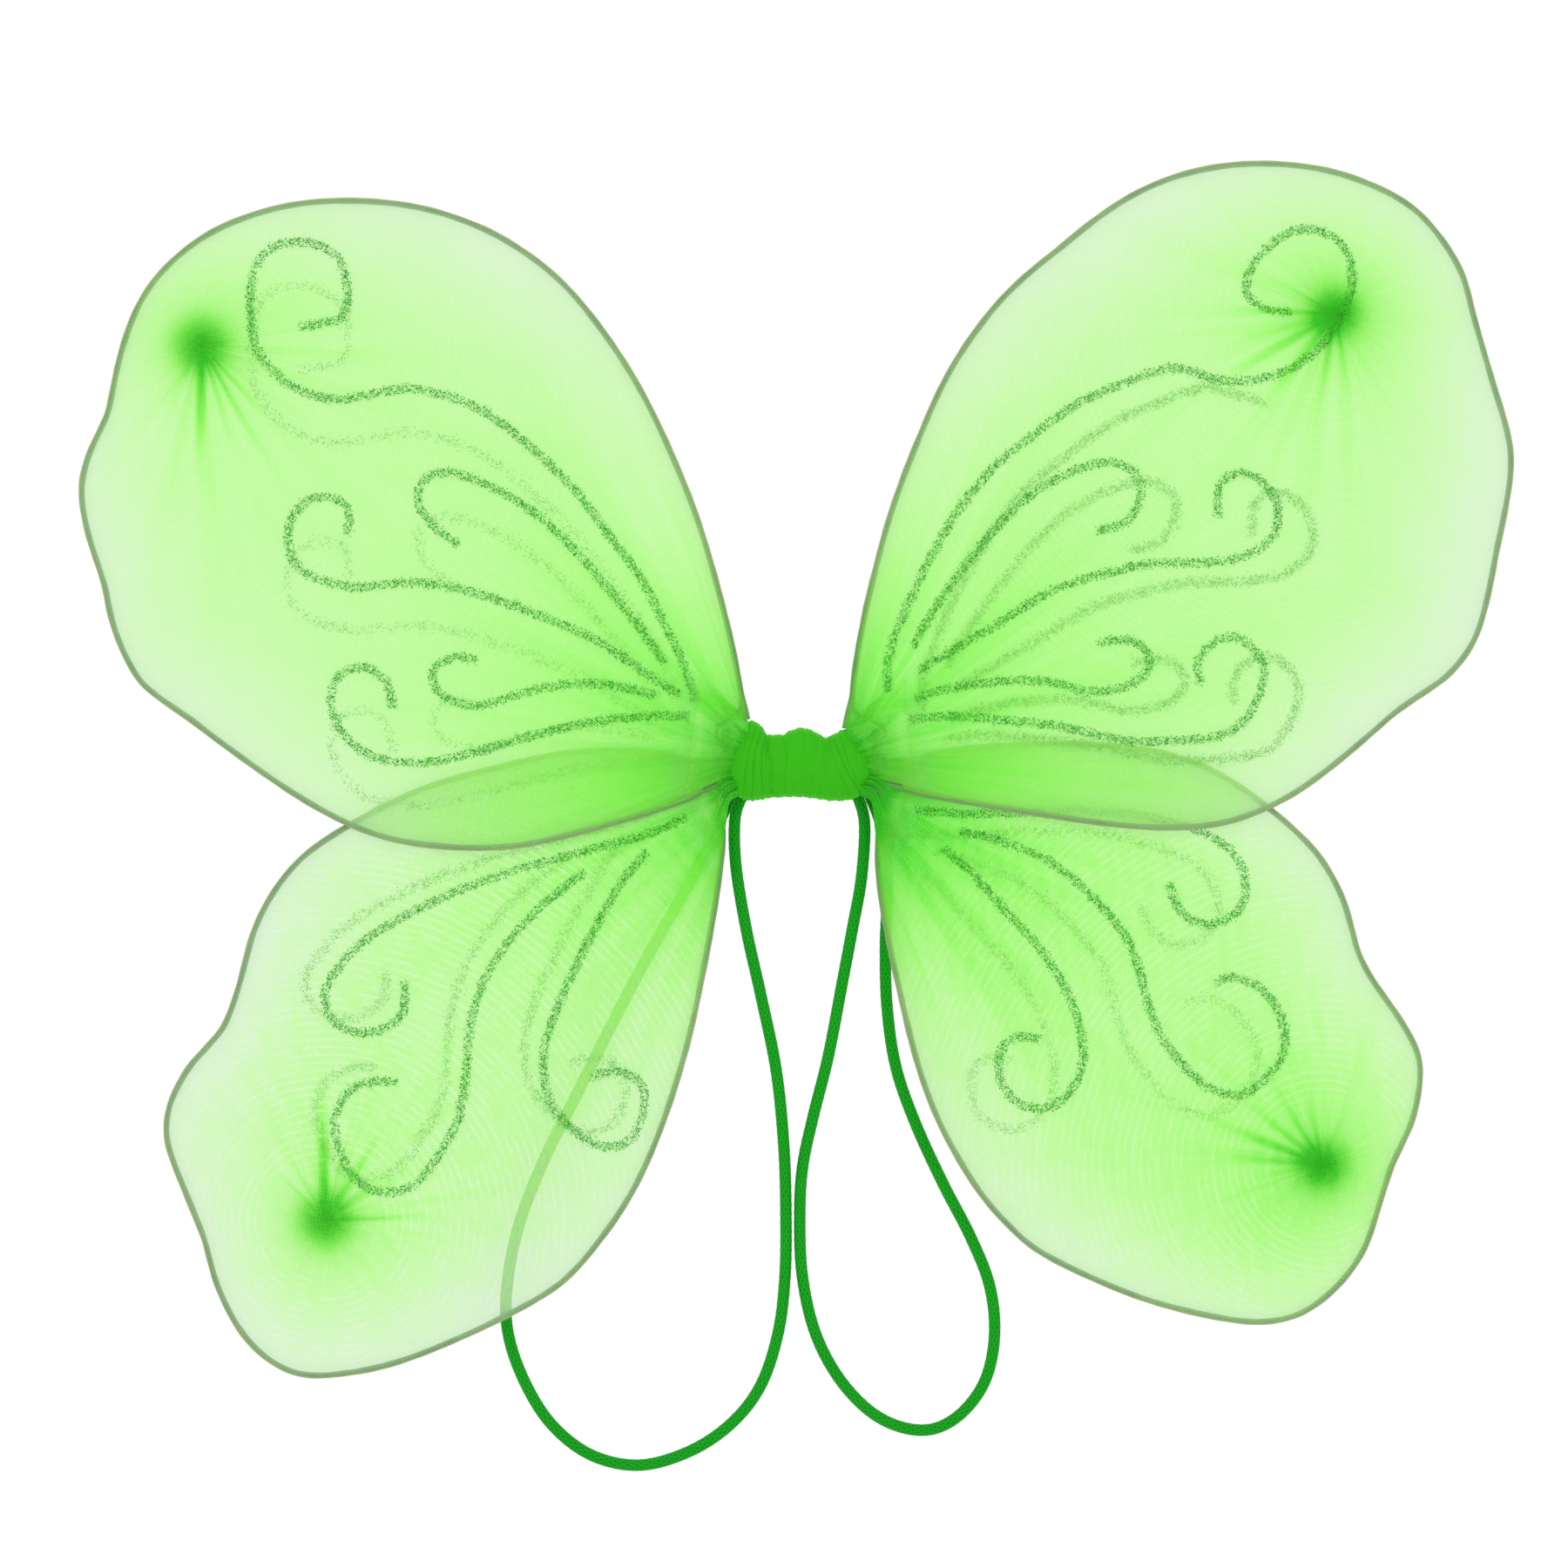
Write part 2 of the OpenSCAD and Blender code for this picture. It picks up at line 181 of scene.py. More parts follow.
def ring_tube(path, radius, sides):
    """A tube along a path that may run in any direction."""
    path = np.array(path, float)
    heading = unit_rows(np.gradient(path, axis=0))
    side = [unit_rows(np.cross(heading[0], [0.3, 0.9, 0.2]))]
    for h in heading[1:]:
        side.append(unit_rows(side[-1] - h * np.dot(side[-1], h)))
    side = np.array(side)
    return skin(path, side, np.cross(side, heading), radius, sides)


# ---- materials

class Nodes:
    """Short names for the shader nodes that the materials below are built from."""

    def __init__(self, name):
        self.material = bpy.data.materials.new(name)
        self.material.use_nodes = True
        self.tree = self.material.node_tree
        self.tree.nodes.clear()

    def add(self, kind, **settings):
        node = self.tree.nodes.new("ShaderNode" + kind)
        for key, value in settings.items():
            setattr(node, key, value)
        return node

    def put(self, socket, value):
        if isinstance(value, bpy.types.NodeSocket):
            self.tree.links.new(value, socket)
        elif value is not None:
            socket.default_value = value

    def math(self, operation, a, b=None, clamp=False):
        node = self.add("Math", operation=operation, use_clamp=clamp)
        self.put(node.inputs[0], a)
        self.put(node.inputs[1], b)
        return node.outputs[0]

    def times(self, a, b):
        return self.math("MULTIPLY", a, b)

    def plus(self, a, b):
        return self.math("ADD", a, b)

    def minus(self, a, b):
        return self.math("SUBTRACT", a, b)

    def over(self, a, b, clamp=False):
        return self.math("DIVIDE", a, b, clamp)

    def vector(self, operation, a, b=None, scale=None):
        node = self.add("VectorMath", operation=operation)
        self.put(node.inputs[0], a)
        self.put(node.inputs[1], b)
        if scale is not None:
            self.put(node.inputs["Scale"], scale)
        scalar = operation in ("LENGTH", "DISTANCE", "DOT_PRODUCT")
        return node.outputs["Value" if scalar else "Vector"]

    def attribute(self, name, vector=False):
        node = self.add("Attribute", attribute_name=name)
        return node.outputs["Vector" if vector else "Fac"]

    def ramp(self, value, low, high, out_low=0.0, out_high=1.0):
        node = self.add("MapRange", interpolation_type="SMOOTHSTEP")
        for socket, v in zip(node.inputs, (value, low, high, out_low, out_high)):
            self.put(socket, v)
        return node.outputs[0]

    def noise(self, vector, scale, detail=2.0, roughness=0.5, output=0):
        node = self.add("TexNoise")
        self.put(node.inputs["Vector"], vector)
        node.inputs["Scale"].default_value = scale
        node.inputs["Detail"].default_value = detail
        node.inputs["Roughness"].default_value = roughness
        return node.outputs[output]

    def wave(self, vector, scale, distortion=0.0, direction="X", detail_scale=1.0):
        node = self.add("TexWave", bands_direction=direction)
        self.put(node.inputs["Vector"], vector)
        node.inputs["Scale"].default_value = scale
        node.inputs["Distortion"].default_value = distortion
        node.inputs["Detail Scale"].default_value = detail_scale
        return node.outputs["Fac"]

    def mix(self, factor, a, b):
        node = self.add("Mix", data_type="RGBA")
        self.put(node.inputs["Factor"], factor)
        self.put([s for s in node.inputs if s.name == "A" and s.type == "RGBA"][0], a)
        self.put([s for s in node.inputs if s.name == "B" and s.type == "RGBA"][0], b)
        return [s for s in node.outputs if s.type == "RGBA"][0]

    def turned(self, vector, degrees):
        node = self.add("Mapping")
        self.put(node.inputs["Vector"], vector)
        node.inputs["Rotation"].default_value = (0, math.radians(degrees), 0)
        return node.outputs[0]

    def blend_shaders(self, factor, first, second):
        node = self.add("MixShader")
        self.put(node.inputs[0], factor)
        self.tree.links.new(first.outputs[0], node.inputs[1])
        self.tree.links.new(second.outputs[0], node.inputs[2])
        return node

    def bump(self, height, distance, strength=1.0):
        node = self.add("Bump")
        self.put(node.inputs["Height"], height)
        node.inputs["Distance"].default_value = distance
        node.inputs["Strength"].default_value = strength
        return node.outputs[0]

    def finish(self, shader):
        out = self.add("OutputMaterial")
        self.tree.links.new(shader.outputs[0], out.inputs["Surface"])
        return self.material


def dye(n, depth, share):
    """The light that cloth keeps when it is this share of a stack that is dyed this deep."""
    cube = n.math("POWER", depth, 3.0)
    grey = n.times(n.math("EXPONENT", n.over(depth, -0.6)), 0.20)
    grey = n.times(grey, n.ramp(depth, 0.0, 0.25))
    channels = []
    for linear, cubic in ((0.55, 0.018), (0.0, 0.0072), (1.0, 0.0)):
        power = n.plus(n.times(depth, linear), n.times(cube, cubic))
        if linear < 1:
            power = n.plus(power, grey)
        channels.append(n.math("EXPONENT", n.times(power, -share)))
    node = n.add("CombineColor")
    for socket, channel in zip(node.inputs, channels):
        n.put(socket, channel)
    return node.outputs[0]


def falling(n, distance, reach, power=1.0):
    """1 at no distance, fading out over reach."""
    share = n.over(distance, reach)
    if power != 1.0:
        share = n.math("POWER", share, power)
    return n.math("EXPONENT", n.times(share, -1))


def ray(n, from_tip, degrees, width, reach, strength):
    """One long crease that runs from a gather in this direction."""
    a = math.radians(degrees)
    along = n.vector("DOT_PRODUCT", from_tip, (math.cos(a), 0, math.sin(a)))
    across = n.vector("DOT_PRODUCT", from_tip, (-math.sin(a), 0, math.cos(a)))
    wide = n.plus(width * 0.75 * MM, n.times(along, 0.010))
    body = n.math("POWER", n.math("ABSOLUTE", n.over(across, wide)), 2.0)
    far = n.math("MAXIMUM", n.over(along, reach * MM), 0.0)
    body = n.plus(body, n.math("POWER", far, 3.0))
    line = n.math("EXPONENT", n.times(body, -1))
    return n.times(n.times(line, n.ramp(along, 1 * MM, 6 * MM)), 1.8 * strength)


GAP_SHARE = 0.70                # of the blue light that passes a layer, how much goes through its gaps
DYE_LEAST, DYE_MOST = 0.15, 4.25        # the palest and the deepest dye of a pair of layers
ARC_GAP = 2.3 * MM              # between the pale arcs round a star


def nylon(name, look, tip, hub, weave_angle, star, creases, share=0.5):
    """Sheer stretch nylon for one layer of a wing: deep where it is gathered, pale at the edge."""
    n = Nodes(name)
    rest = n.attribute("rest", vector=True)
    edge = n.attribute("edge")
    fade = n.attribute("fade")
    flat = (1, 0, 1)
    from_tip = n.vector("MULTIPLY", n.vector("SUBTRACT", rest, (tip[0], 0, tip[1])), flat)
    from_hub = n.vector("MULTIPLY", n.vector("SUBTRACT", rest, (hub[0], 0, hub[1])), flat)
    tip_far = n.vector("LENGTH", from_tip)
    hub_far = n.vector("LENGTH", from_hub)

    # Creases fan out from the gathers: noise read by direction alone, a little bent on the way
    bend = n.vector("SCALE", n.vector("SUBTRACT", n.noise(rest, 9, output="Color"), (.5, .5, .5)), scale=0.30)
    tip_way = n.vector("ADD", n.vector("NORMALIZE", from_tip), bend)
    hub_way = n.vector("ADD", n.vector("NORMALIZE", from_hub), n.vector("SCALE", bend, scale=0.30))
    tip_lines = n.ramp(n.noise(tip_way, 7, 4, 0.7), 0.40, 0.68, -1, 1)
    tip_hairs = n.ramp(n.noise(tip_way, 34, 3, 0.7), 0.36, 0.64, -1, 1)
    hub_lines = n.ramp(n.noise(hub_way, 24, 3, 0.6), 0.36, 0.66, -1, 1)
    hub_folds = n.ramp(n.noise(hub_way, 6, 2, 0.5), 0.38, 0.62, -1, 1)

    # Hairs of cloth are drawn into the star, so its border is ragged
    ragged = n.times(tip_far, n.plus(1.0, n.times(tip_hairs, 0.16)))
    core = falling(n, ragged, (look["star_r"] + 1.6) * MM, 3.3)
    speck = n.times(falling(n, tip_far, 0.7 * MM, 2.0), 0.5)
    cloud = n.minus(n.noise(rest, 14, 3, 0.55), 0.5)
    tip_wide = falling(n, tip_far, 30 * MM)
    hub_wide = falling(n, hub_far, 62 * MM)

    depth = n.plus(0.36, n.times(n.ramp(edge, 0.0, 40 * MM), look["inner"]))
    for spread, amount in ((falling(n, tip_far, 9 * MM), look["tip_near"]), (tip_wide, look["tip_wide"]),
                          (falling(n, hub_far, 19 * MM), look["hub_near"]), (hub_wide, look["hub_wide"]),
                          (core, star), (speck, 1.0), (cloud, 0.30)):
        depth = n.plus(depth, n.times(spread, amount))

    # A lower wing's cloth is drawn less along its top, where the upper wing lies over it
    height = n.vector("DOT_PRODUCT", rest, (0, 0, 1))
    depth = n.times(depth, n.ramp(height, -24 * MM, -8 * MM, 1.0, look["top"]))

    main = math.radians(look["main"])
    towards = n.vector("DOT_PRODUCT", n.vector("NORMALIZE", from_tip), (math.cos(main), 0, math.sin(main)))
    leaning = n.ramp(towards, -0.3, 0.7, 0.12, 1.0)
    streak = n.times(tip_lines, leaning)
    streak = n.times(streak, n.times(tip_wide, 0.42 * creases))
    near = n.times(falling(n, tip_far, 8 * MM), 0.6 * creases)
    streak = n.plus(streak, n.times(tip_hairs, near))
    fan = n.plus(n.times(hub_lines, 0.42), n.times(hub_folds, 0.58))
    fan = n.times(fan, n.times(falling(n, hub_far, 42 * MM), 0.85 * creases))
    fan = n.times(fan, n.ramp(hub_far, 5 * MM, 20 * MM, 0.35, 1.0))
    streak = n.plus(streak, fan)
    for each in look["rays"]:
        streak = n.plus(streak, n.times(ray(n, from_tip, *each), creases))
    depth = n.plus(depth, streak)

    # Two sets of fine knitted lines, which cross in soft moire bands
    warp = n.wave(n.turned(rest, weave_angle), 350, 3.0, "X", 3.0)
    weft = n.wave(n.turned(rest, weave_angle + 68), 300, 3.0, "X", 2.0)
    moire = n.wave(n.turned(rest, weave_angle + 24), 60, 6.0, "X", 1.4)
    patch = n.ramp(n.noise(rest, 30, 3, 0.6), 0.35, 0.65, 0.25, 1.0)
    knit = n.plus(n.times(warp, 0.65), n.times(weft, 0.35))
    fine = n.times(n.times(n.minus(knit, 0.45), patch), look["weave"])
    fine = n.plus(fine, n.times(n.minus(moire, 0.5), look["weave"] * 0.25))
    # Pulled threads leave broken pale arcs round the star
    wander = n.times(n.noise(rest, 45, 3, 0.6), 7)
    arcs = n.math("SINE", n.plus(n.times(tip_far, 2 * math.pi / ARC_GAP), wander))
    arcs = n.times(n.ramp(arcs, 0.35, 1.0), n.ramp(n.noise(rest, 120, 2, 0.6), 0.35, 0.6))
    arcs = n.times(arcs, n.ramp(tip_far, 8 * MM, 26 * MM))
    arcs = n.times(arcs, n.ramp(hub_far, 20 * MM, 75 * MM))
    fine = n.minus(fine, n.times(arcs, look["arcs"]))
    grain = n.times(n.minus(n.noise(rest, 1100, 2, 0.7), 0.5), 0.42)
    depth = n.times(depth, n.plus(1.0, n.plus(fine, grain)))
    depth = n.math("MINIMUM", n.math("MAXIMUM", depth, DYE_LEAST), DYE_MOST)
    depth = n.times(depth, n.minus(1.0, fade))
    colour = dye(n, depth, share)
    colour = n.mix(n.attribute("hem"), colour, (0.20, 0.36, 0.16, 1))

    # Light goes straight through the gaps between threads; the threads hold all the dye
    split = n.add("SeparateColor")
    n.put(split.inputs[0], colour)
    straight = n.times(split.outputs[2], GAP_SHARE)
    cover = n.minus(1.0, straight)
    threads = n.add("CombineColor")
    for socket, channel in zip(threads.inputs, split.outputs):
        n.put(socket, n.over(n.minus(channel, straight), cover, clamp=True))

    relief = n.plus(n.times(knit, 0.05), n.times(streak, 0.9))
    normal = n.bump(relief, 0.6 * MM, 0.5)
    glow = n.add("BsdfTranslucent")
    matt = n.add("BsdfDiffuse")
    shine = n.add("BsdfSheen")
    shine.inputs["Roughness"].default_value = 0.35
    shine.inputs["Color"].default_value = (0.45, 1.0, 0.35, 1)
    for shader in (glow, matt):
        n.put(shader.inputs["Color"], threads.outputs[0])
    for shader in (glow, matt, shine):
        n.put(shader.inputs["Normal"], normal)
    cloth = n.blend_shaders(0.5, glow, matt)
    silky = n.blend_shaders(0.04, cloth, shine)
    gap = n.add("BsdfTransparent")
    cover = n.times(cover, n.minus(1.0, fade))
    return n.finish(n.blend_shaders(cover, gap, silky))


def principled(n, colour, roughness, normal=None, sheen=0.0, metallic=0.0,
               sheen_tint=(1, 1, 1, 1), specular=0.15):
    """A Principled shader. colour and roughness are values or sockets."""
    shader = n.add("BsdfPrincipled")
    n.put(shader.inputs["Base Color"], colour)
    n.put(shader.inputs["Roughness"], roughness)
    if normal is not None:
        n.put(shader.inputs["Normal"], normal)
    shader.inputs["Sheen Weight"].default_value = sheen
    shader.inputs["Sheen Roughness"].default_value = 0.4
    shader.inputs["Sheen Tint"].default_value = sheen_tint
    shader.inputs["Metallic"].default_value = metallic
    shader.inputs["Specular IOR Level"].default_value = specular
    return shader


def covered_rim():
    """Nylon stretched tight over the frame wire: grey green, teal grey towards its outer side, with a painted
    yellow-green highlight along its inner side.
    """
    n = Nodes("covered_rim")
    along, around = n.attribute("along"), n.attribute("around")
    rest = n.attribute("rest", vector=True)
    blotch = n.noise(rest, 45, 3, 0.6)
    threads = n.math("SINE", n.plus(n.times(along, 5200), n.times(around, 2)))
    outward = n.attribute("outward")
    colour = n.mix(n.ramp(blotch, 0.35, 0.65), (0.13, 0.26, 0.15, 1), (0.22, 0.38, 0.18, 1))
    colour = n.mix(n.ramp(outward, -0.2, 1.0, 0.0, 0.8), colour, (0.17, 0.29, 0.235, 1))
    # Painted highlight: the rim's inner side is mixed towards yellow green
    colour = n.mix(n.ramp(outward, 0.4, -0.9, 0.0, 0.65), colour, (0.46, 0.56, 0.20, 1))
    colour = n.mix(n.times(n.ramp(threads, -1, 1), 0.15), colour, (0.50, 0.72, 0.40, 1))
    root = n.ramp(n.vector("LENGTH", rest), 26 * MM, 75 * MM, 0.75, 0.0)
    colour = n.mix(root, colour, (0.09, 0.36, 0.05, 1))
    normal = n.bump(threads, 0.05 * MM, 0.5)
    cloth = principled(n, colour, 0.55, normal, sheen=0.25, sheen_tint=(0.8, 1, 0.75, 1))
    gap = n.add("BsdfTransparent")
    gap.inputs["Color"].default_value = (0.55, 0.85, 0.45, 1)
    return n.finish(n.blend_shaders(0.78, gap, cloth))


def stretch_wrap():
    """The hub's stretch cloth: fine threads round the hub, with painted shade in its folds and a painted
    backlit glow along its top and bottom edges.
    """
    n = Nodes("stretch_wrap")
    rest = n.attribute("rest", vector=True)
    fold = n.attribute("fold")
    lit = n.attribute("lit")
    threads = n.wave(n.turned(rest, 4), 420, 1.5, "X", 2.0)
    drawn = n.noise(n.vector("MULTIPLY", rest, (1, 0.25, 0.12)), 620, 3, 0.6)
    cloud = n.noise(rest, 90, 3, 0.55)
    # Painted shade darkens the folds; the drawn threads and the cloud are the cloth's own uneven tone
    shade = n.times(fold, 0.9)
    for pattern, amount in ((drawn, 0.16), (cloud, 0.30)):
        shade = n.plus(shade, n.times(n.minus(pattern, 0.5), amount))
    colour = n.mix(n.ramp(shade, -0.25, 0.95), (0.056, 0.60, 0.012, 1), (0.034, 0.40, 0.009, 1))
    # Painted light: the top and bottom edges are mixed towards bright green, a glow of backlight
    colour = n.mix(lit, colour, (0.13, 0.74, 0.045, 1))
    relief = n.plus(n.times(threads, 0.3), n.times(drawn, 0.4))
    normal = n.bump(relief, 0.16 * MM, 0.35)
    shader = principled(n, colour, 0.7, normal, sheen=0.12, sheen_tint=(0.25, 1, 0.12, 1), specular=0.08)
    glow = n.add("BsdfTranslucent")
    n.put(glow.inputs["Color"], colour)
    return n.finish(n.blend_shaders(0.25, shader, glow))


def braided_elastic():
    """Round elastic: a diagonal braid of polyester over rubber, deeper green than the nylon."""
    n = Nodes("braided_elastic")
    along, around = n.attribute("along"), n.attribute("around")
    rest = n.attribute("rest", vector=True)
    turn = n.times(along, 2 * math.pi / BRAID_PITCH)
    one = n.math("SINE", n.plus(turn, n.times(around, 8)))
    other = n.math("SINE", n.minus(turn, n.times(around, 8)))
    braid = n.math("MAXIMUM", one, other)
    cloud = n.noise(rest, 60, 3, 0.6)
    fibre = n.noise(n.vector("MULTIPLY", rest, (1, 1, 0.4)), 1500, 2, 0.6)
    height = n.plus(n.times(braid, 0.6), n.times(fibre, 0.4))
    # Painted shade: the braid's low parts, between its strands, are darker; the cloud is the cord's own
    # uneven tone
    shade = n.plus(n.ramp(height, -0.2, 0.9, 0.0, 0.75), n.times(cloud, 0.35))
    colour = n.mix(shade, (0.003, 0.20, 0.006, 1), (0.008, 0.37, 0.012, 1))
    normal = n.bump(height, 0.16 * MM, 0.5)
    shader = principled(n, colour, 0.6, normal, sheen=0.10, sheen_tint=(0.2, 0.8, 0.4, 1), specular=0.08)
    return n.finish(shader)


def gathered_cloth():
    """Bunched nylon, many layers deep."""
    n = Nodes("gathered_cloth")
    rest = n.attribute("rest", vector=True)
    fine = n.noise(rest, 700, 3, 0.6)
    cloud = n.noise(rest, 220, 2, 0.5)
    colour = n.mix(n.ramp(n.plus(fine, cloud), 0.7, 1.3), (0.05, 0.74, 0.02, 1), (0.16, 0.94, 0.08, 1))
    normal = n.bump(fine, 0.2 * MM, 0.6)
    cloth = principled(n, colour, 0.65, normal, specular=0.1)
    through = n.add("BsdfTransparent")
    through.inputs["Color"].default_value = (0.70, 0.985, 0.55, 1)
    return n.finish(n.blend_shaders(0.07, through, cloth))


def wound_thread():
    """Twisted thread that ties a tuft's neck."""
    n = Nodes("wound_thread")
    along, around = n.attribute("along"), n.attribute("around")
    twist = n.math("SINE", n.plus(n.times(along, 9000), n.times(around, 3)))
    # Painted shade: the twist's grooves are darker than its ridges
    colour = n.mix(n.ramp(twist, -1, 1), (0.01, 0.14, 0.012, 1), (0.03, 0.34, 0.03, 1))
    return n.finish(principled(n, colour, 0.5, n.bump(twist, 0.06 * MM, 0.6), sheen=0.2))


def drawn_wire():
    """Drawn steel, a little stained green by the cloth."""
    n = Nodes("drawn_wire")
    place = n.add("TexCoord").outputs["Object"]
    scratch = n.noise(n.vector("MULTIPLY", place, (1, 1, 0.1)), 2600, 3, 0.6)
    stain = n.noise(place, 160, 2, 0.5)
    colour = n.mix(n.ramp(stain, 0.35, 0.7), (0.24, 0.30, 0.24, 1), (0.40, 0.46, 0.38, 1))
    rough = n.ramp(scratch, 0.3, 0.7, 0.26, 0.5)
    return n.finish(principled(n, colour, rough, n.bump(scratch, 0.03 * MM, 0.4), metallic=0.85))


def cloth_tape():
    """Pale woven tape."""
    n = Nodes("cloth_tape")
    place = n.add("TexCoord").outputs["Object"]
    weave = n.wave(n.turned(place, 12), 700, 0.6, "X")
    dirt = n.noise(place, 300, 3, 0.6)
    worn = n.times(n.plus(weave, dirt), 0.5)
    colour = n.mix(worn, (0.50, 0.62, 0.46, 1), (0.78, 0.85, 0.74, 1))
    return n.finish(principled(n, colour, 0.75, n.bump(weave, 0.08 * MM, 0.5), sheen=0.2))


def glitter(name, light, dark, brass):
    """Flecks of glitter: each has its own tint and its own lie."""
    n = Nodes(name)
    tint = n.attribute("tint")
    colour = n.mix(n.ramp(tint, 0.0, 0.75), dark, light)
    colour = n.mix(n.ramp(tint, 0.86, 0.90), colour, brass)
    return n.finish(principled(n, colour, 0.45, specular=0.12))


# ---- the wings' shapes, from the frame

class Wing:
    """One wing: where it is, and the smooth outline of its wire, taken from the CAD nodes."""

    def __init__(self, name, side, upper):
        self.name, self.side, self.upper = name, side, upper
        low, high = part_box(name + "_sleeve")
        self.y = (low.y + high.y) / 2
        tip_low, tip_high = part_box(name + "_tuft")
        self.tip = ((tip_low.x + tip_high.x) / 2, (tip_low.z + tip_high.z) / 2)
        self.hub = (side * 13 * MM, (2.5 if upper else -4.5) * MM)
        self.body = name + "_wing"
        plate = plate_outline(name + "_sleeve", side, upper)
        mouth = plate[[0, -1]] if upper else plate[:0]      # the cloth's corners clear of the wire's tails
        if upper:
            plate = plate[1:-1]
        wire = offset_outline(curve_through(plate, 8), side_step(plate, WIRE_INSET))
        if upper:
            wire = evenly(curve_through(np.vstack([np.array(ROOTS[name]) * MM, wire[::6]]), 6), 1.1 * MM)
        self.wire = evenly(wire, 1.1 * MM)
        shoulder = np.array(SHOULDERS[name]) * MM if upper else plate[:0]
        self.cloth_edge = np.vstack([self.wire, mouth[::-1], shoulder])
        self.mouth = evenly(mouth if upper else self.wire[[0, -1]], 0.5 * MM)


# Where each upper wing's covered edge runs down to the wrap, and its cloth goes back to the mouth
ROOTS = {"upper_left": [(-15.3, 13.0), (-16.2, 17.2)], "upper_right": [(12.8, 10.4), (13.8, 15.6)]}
SHOULDERS = {"upper_left": [(-21, 13.4), (-16, 12.6)], "upper_right": [(20, 12.6), (13.4, 10.2)]}
# The bare wire's tails inside the cloth
TAILS = {"upper_left": [(-16.8, 21), (-17, 17), (-20, 13.6), (-23.6, 11.4), (-24.2, 8.2)],
         "upper_right": [(15.2, 20.5), (15.2, 16), (19, 13.2), (23.4, 11.4), (24.2, 8.2)]}
WIRE_INSET = 0.65 * MM          # from a CAD sleeve's edge out to the wire's centreline


def plate_outline(node, side, upper):
    """The edge of a CAD sleeve as (x, z) points, from the neck's upper end round to its lower end."""
    mesh = frame["nodes"][node].data
    count = {}
    for face in mesh.polygons:
        if face.normal.y > -0.9:
            continue
        ring = [tuple(round(c, 5) for c in mesh.vertices[i].co) for i in face.vertices]
        for a, b in zip(ring, ring[1:] + ring[:1]):
            count[(a, b)] = count.get((a, b), 0) + 1
    onward = {a: b for a, b in count if (b, a) not in count}
    start = next(iter(onward))
    loop = [start]
    while onward[loop[-1]] != start:
        loop.append(onward[loop[-1]])
    points = np.array(loop)[:, [0, 2]]
    post = np.array([side * 23, 6 if upper else -6]) * MM
    middles = (points + np.roll(points, -1, 0)) / 2
    neck_edge = int(np.argmin(np.linalg.norm(middles - post, axis=1)))
    points = np.roll(points, -(neck_edge + 1), 0)
    return points if points[0, 1] > points[-1, 1] else points[::-1]


def side_step(points, distance):
    """distance with the sign that moves the outline outwards."""
    x, z = points[:, 0], points[:, 1]
    area = 0.5 * np.sum(x * np.roll(z, -1) - np.roll(x, -1) * z)
    return distance if area > 0 else -distance


def offset_outline(points, distance):
    """The open outline moved sideways."""
    heading = unit_rows(np.gradient(points, axis=0))
    return points + distance * np.stack([heading[:, 1], -heading[:, 0]], axis=1)


WINGS = [Wing("upper_left", -1, True), Wing("upper_right", 1, True),
         Wing("lower_left", -1, False), Wing("lower_right", 1, False)]


def inside(points, outline):
    """Which points lie inside the closed outline."""
    x, z = points[:, 0][:, None], points[:, 1][:, None]
    x1, z1 = outline[:, 0][None], outline[:, 1][None]
    x2, z2 = np.roll(outline[:, 0], -1)[None], np.roll(outline[:, 1], -1)[None]
    crosses = (z1 > z) != (z2 > z)
    rise = np.where(z2 == z1, 1e-12, z2 - z1)
    at = x1 + (z - z1) * (x2 - x1) / rise
    return (np.sum(crosses & (x < at), axis=1) % 2) == 1


def far_from(points, centre):
    """How far each point is from centre."""
    return np.linalg.norm(points - np.array(centre), axis=1)


def distance_to(points, line):
    """How far each point is from the nearest point of line."""
    out = np.empty(len(points))
    for start in range(0, len(points), 2000):
        part = points[start:start + 2000]
        out[start:start + 2000] = np.min(np.linalg.norm(part[:, None] - line[None], axis=2), axis=1)
    return out


def rings(centre, first, last, growth, gap):
    """Points on circles round centre, further apart as they go out."""
    found, radius, turn = [], first, 0.0
    while radius < last:
        count = int(max(10, 2 * math.pi * radius / gap(radius)))
        angles = turn + 2 * math.pi * np.arange(count) / count
        found.append(np.stack([centre[0] + radius * np.cos(angles), centre[1] + radius * np.sin(angles)], 1))
        turn += 0.7
        radius += max(growth * radius, 0.45 * MM)
    return np.vstack(found)


TIP_ZONE, HUB_ZONE = 34 * MM, 75 * MM       # how far the finer mesh reaches from the two gathers


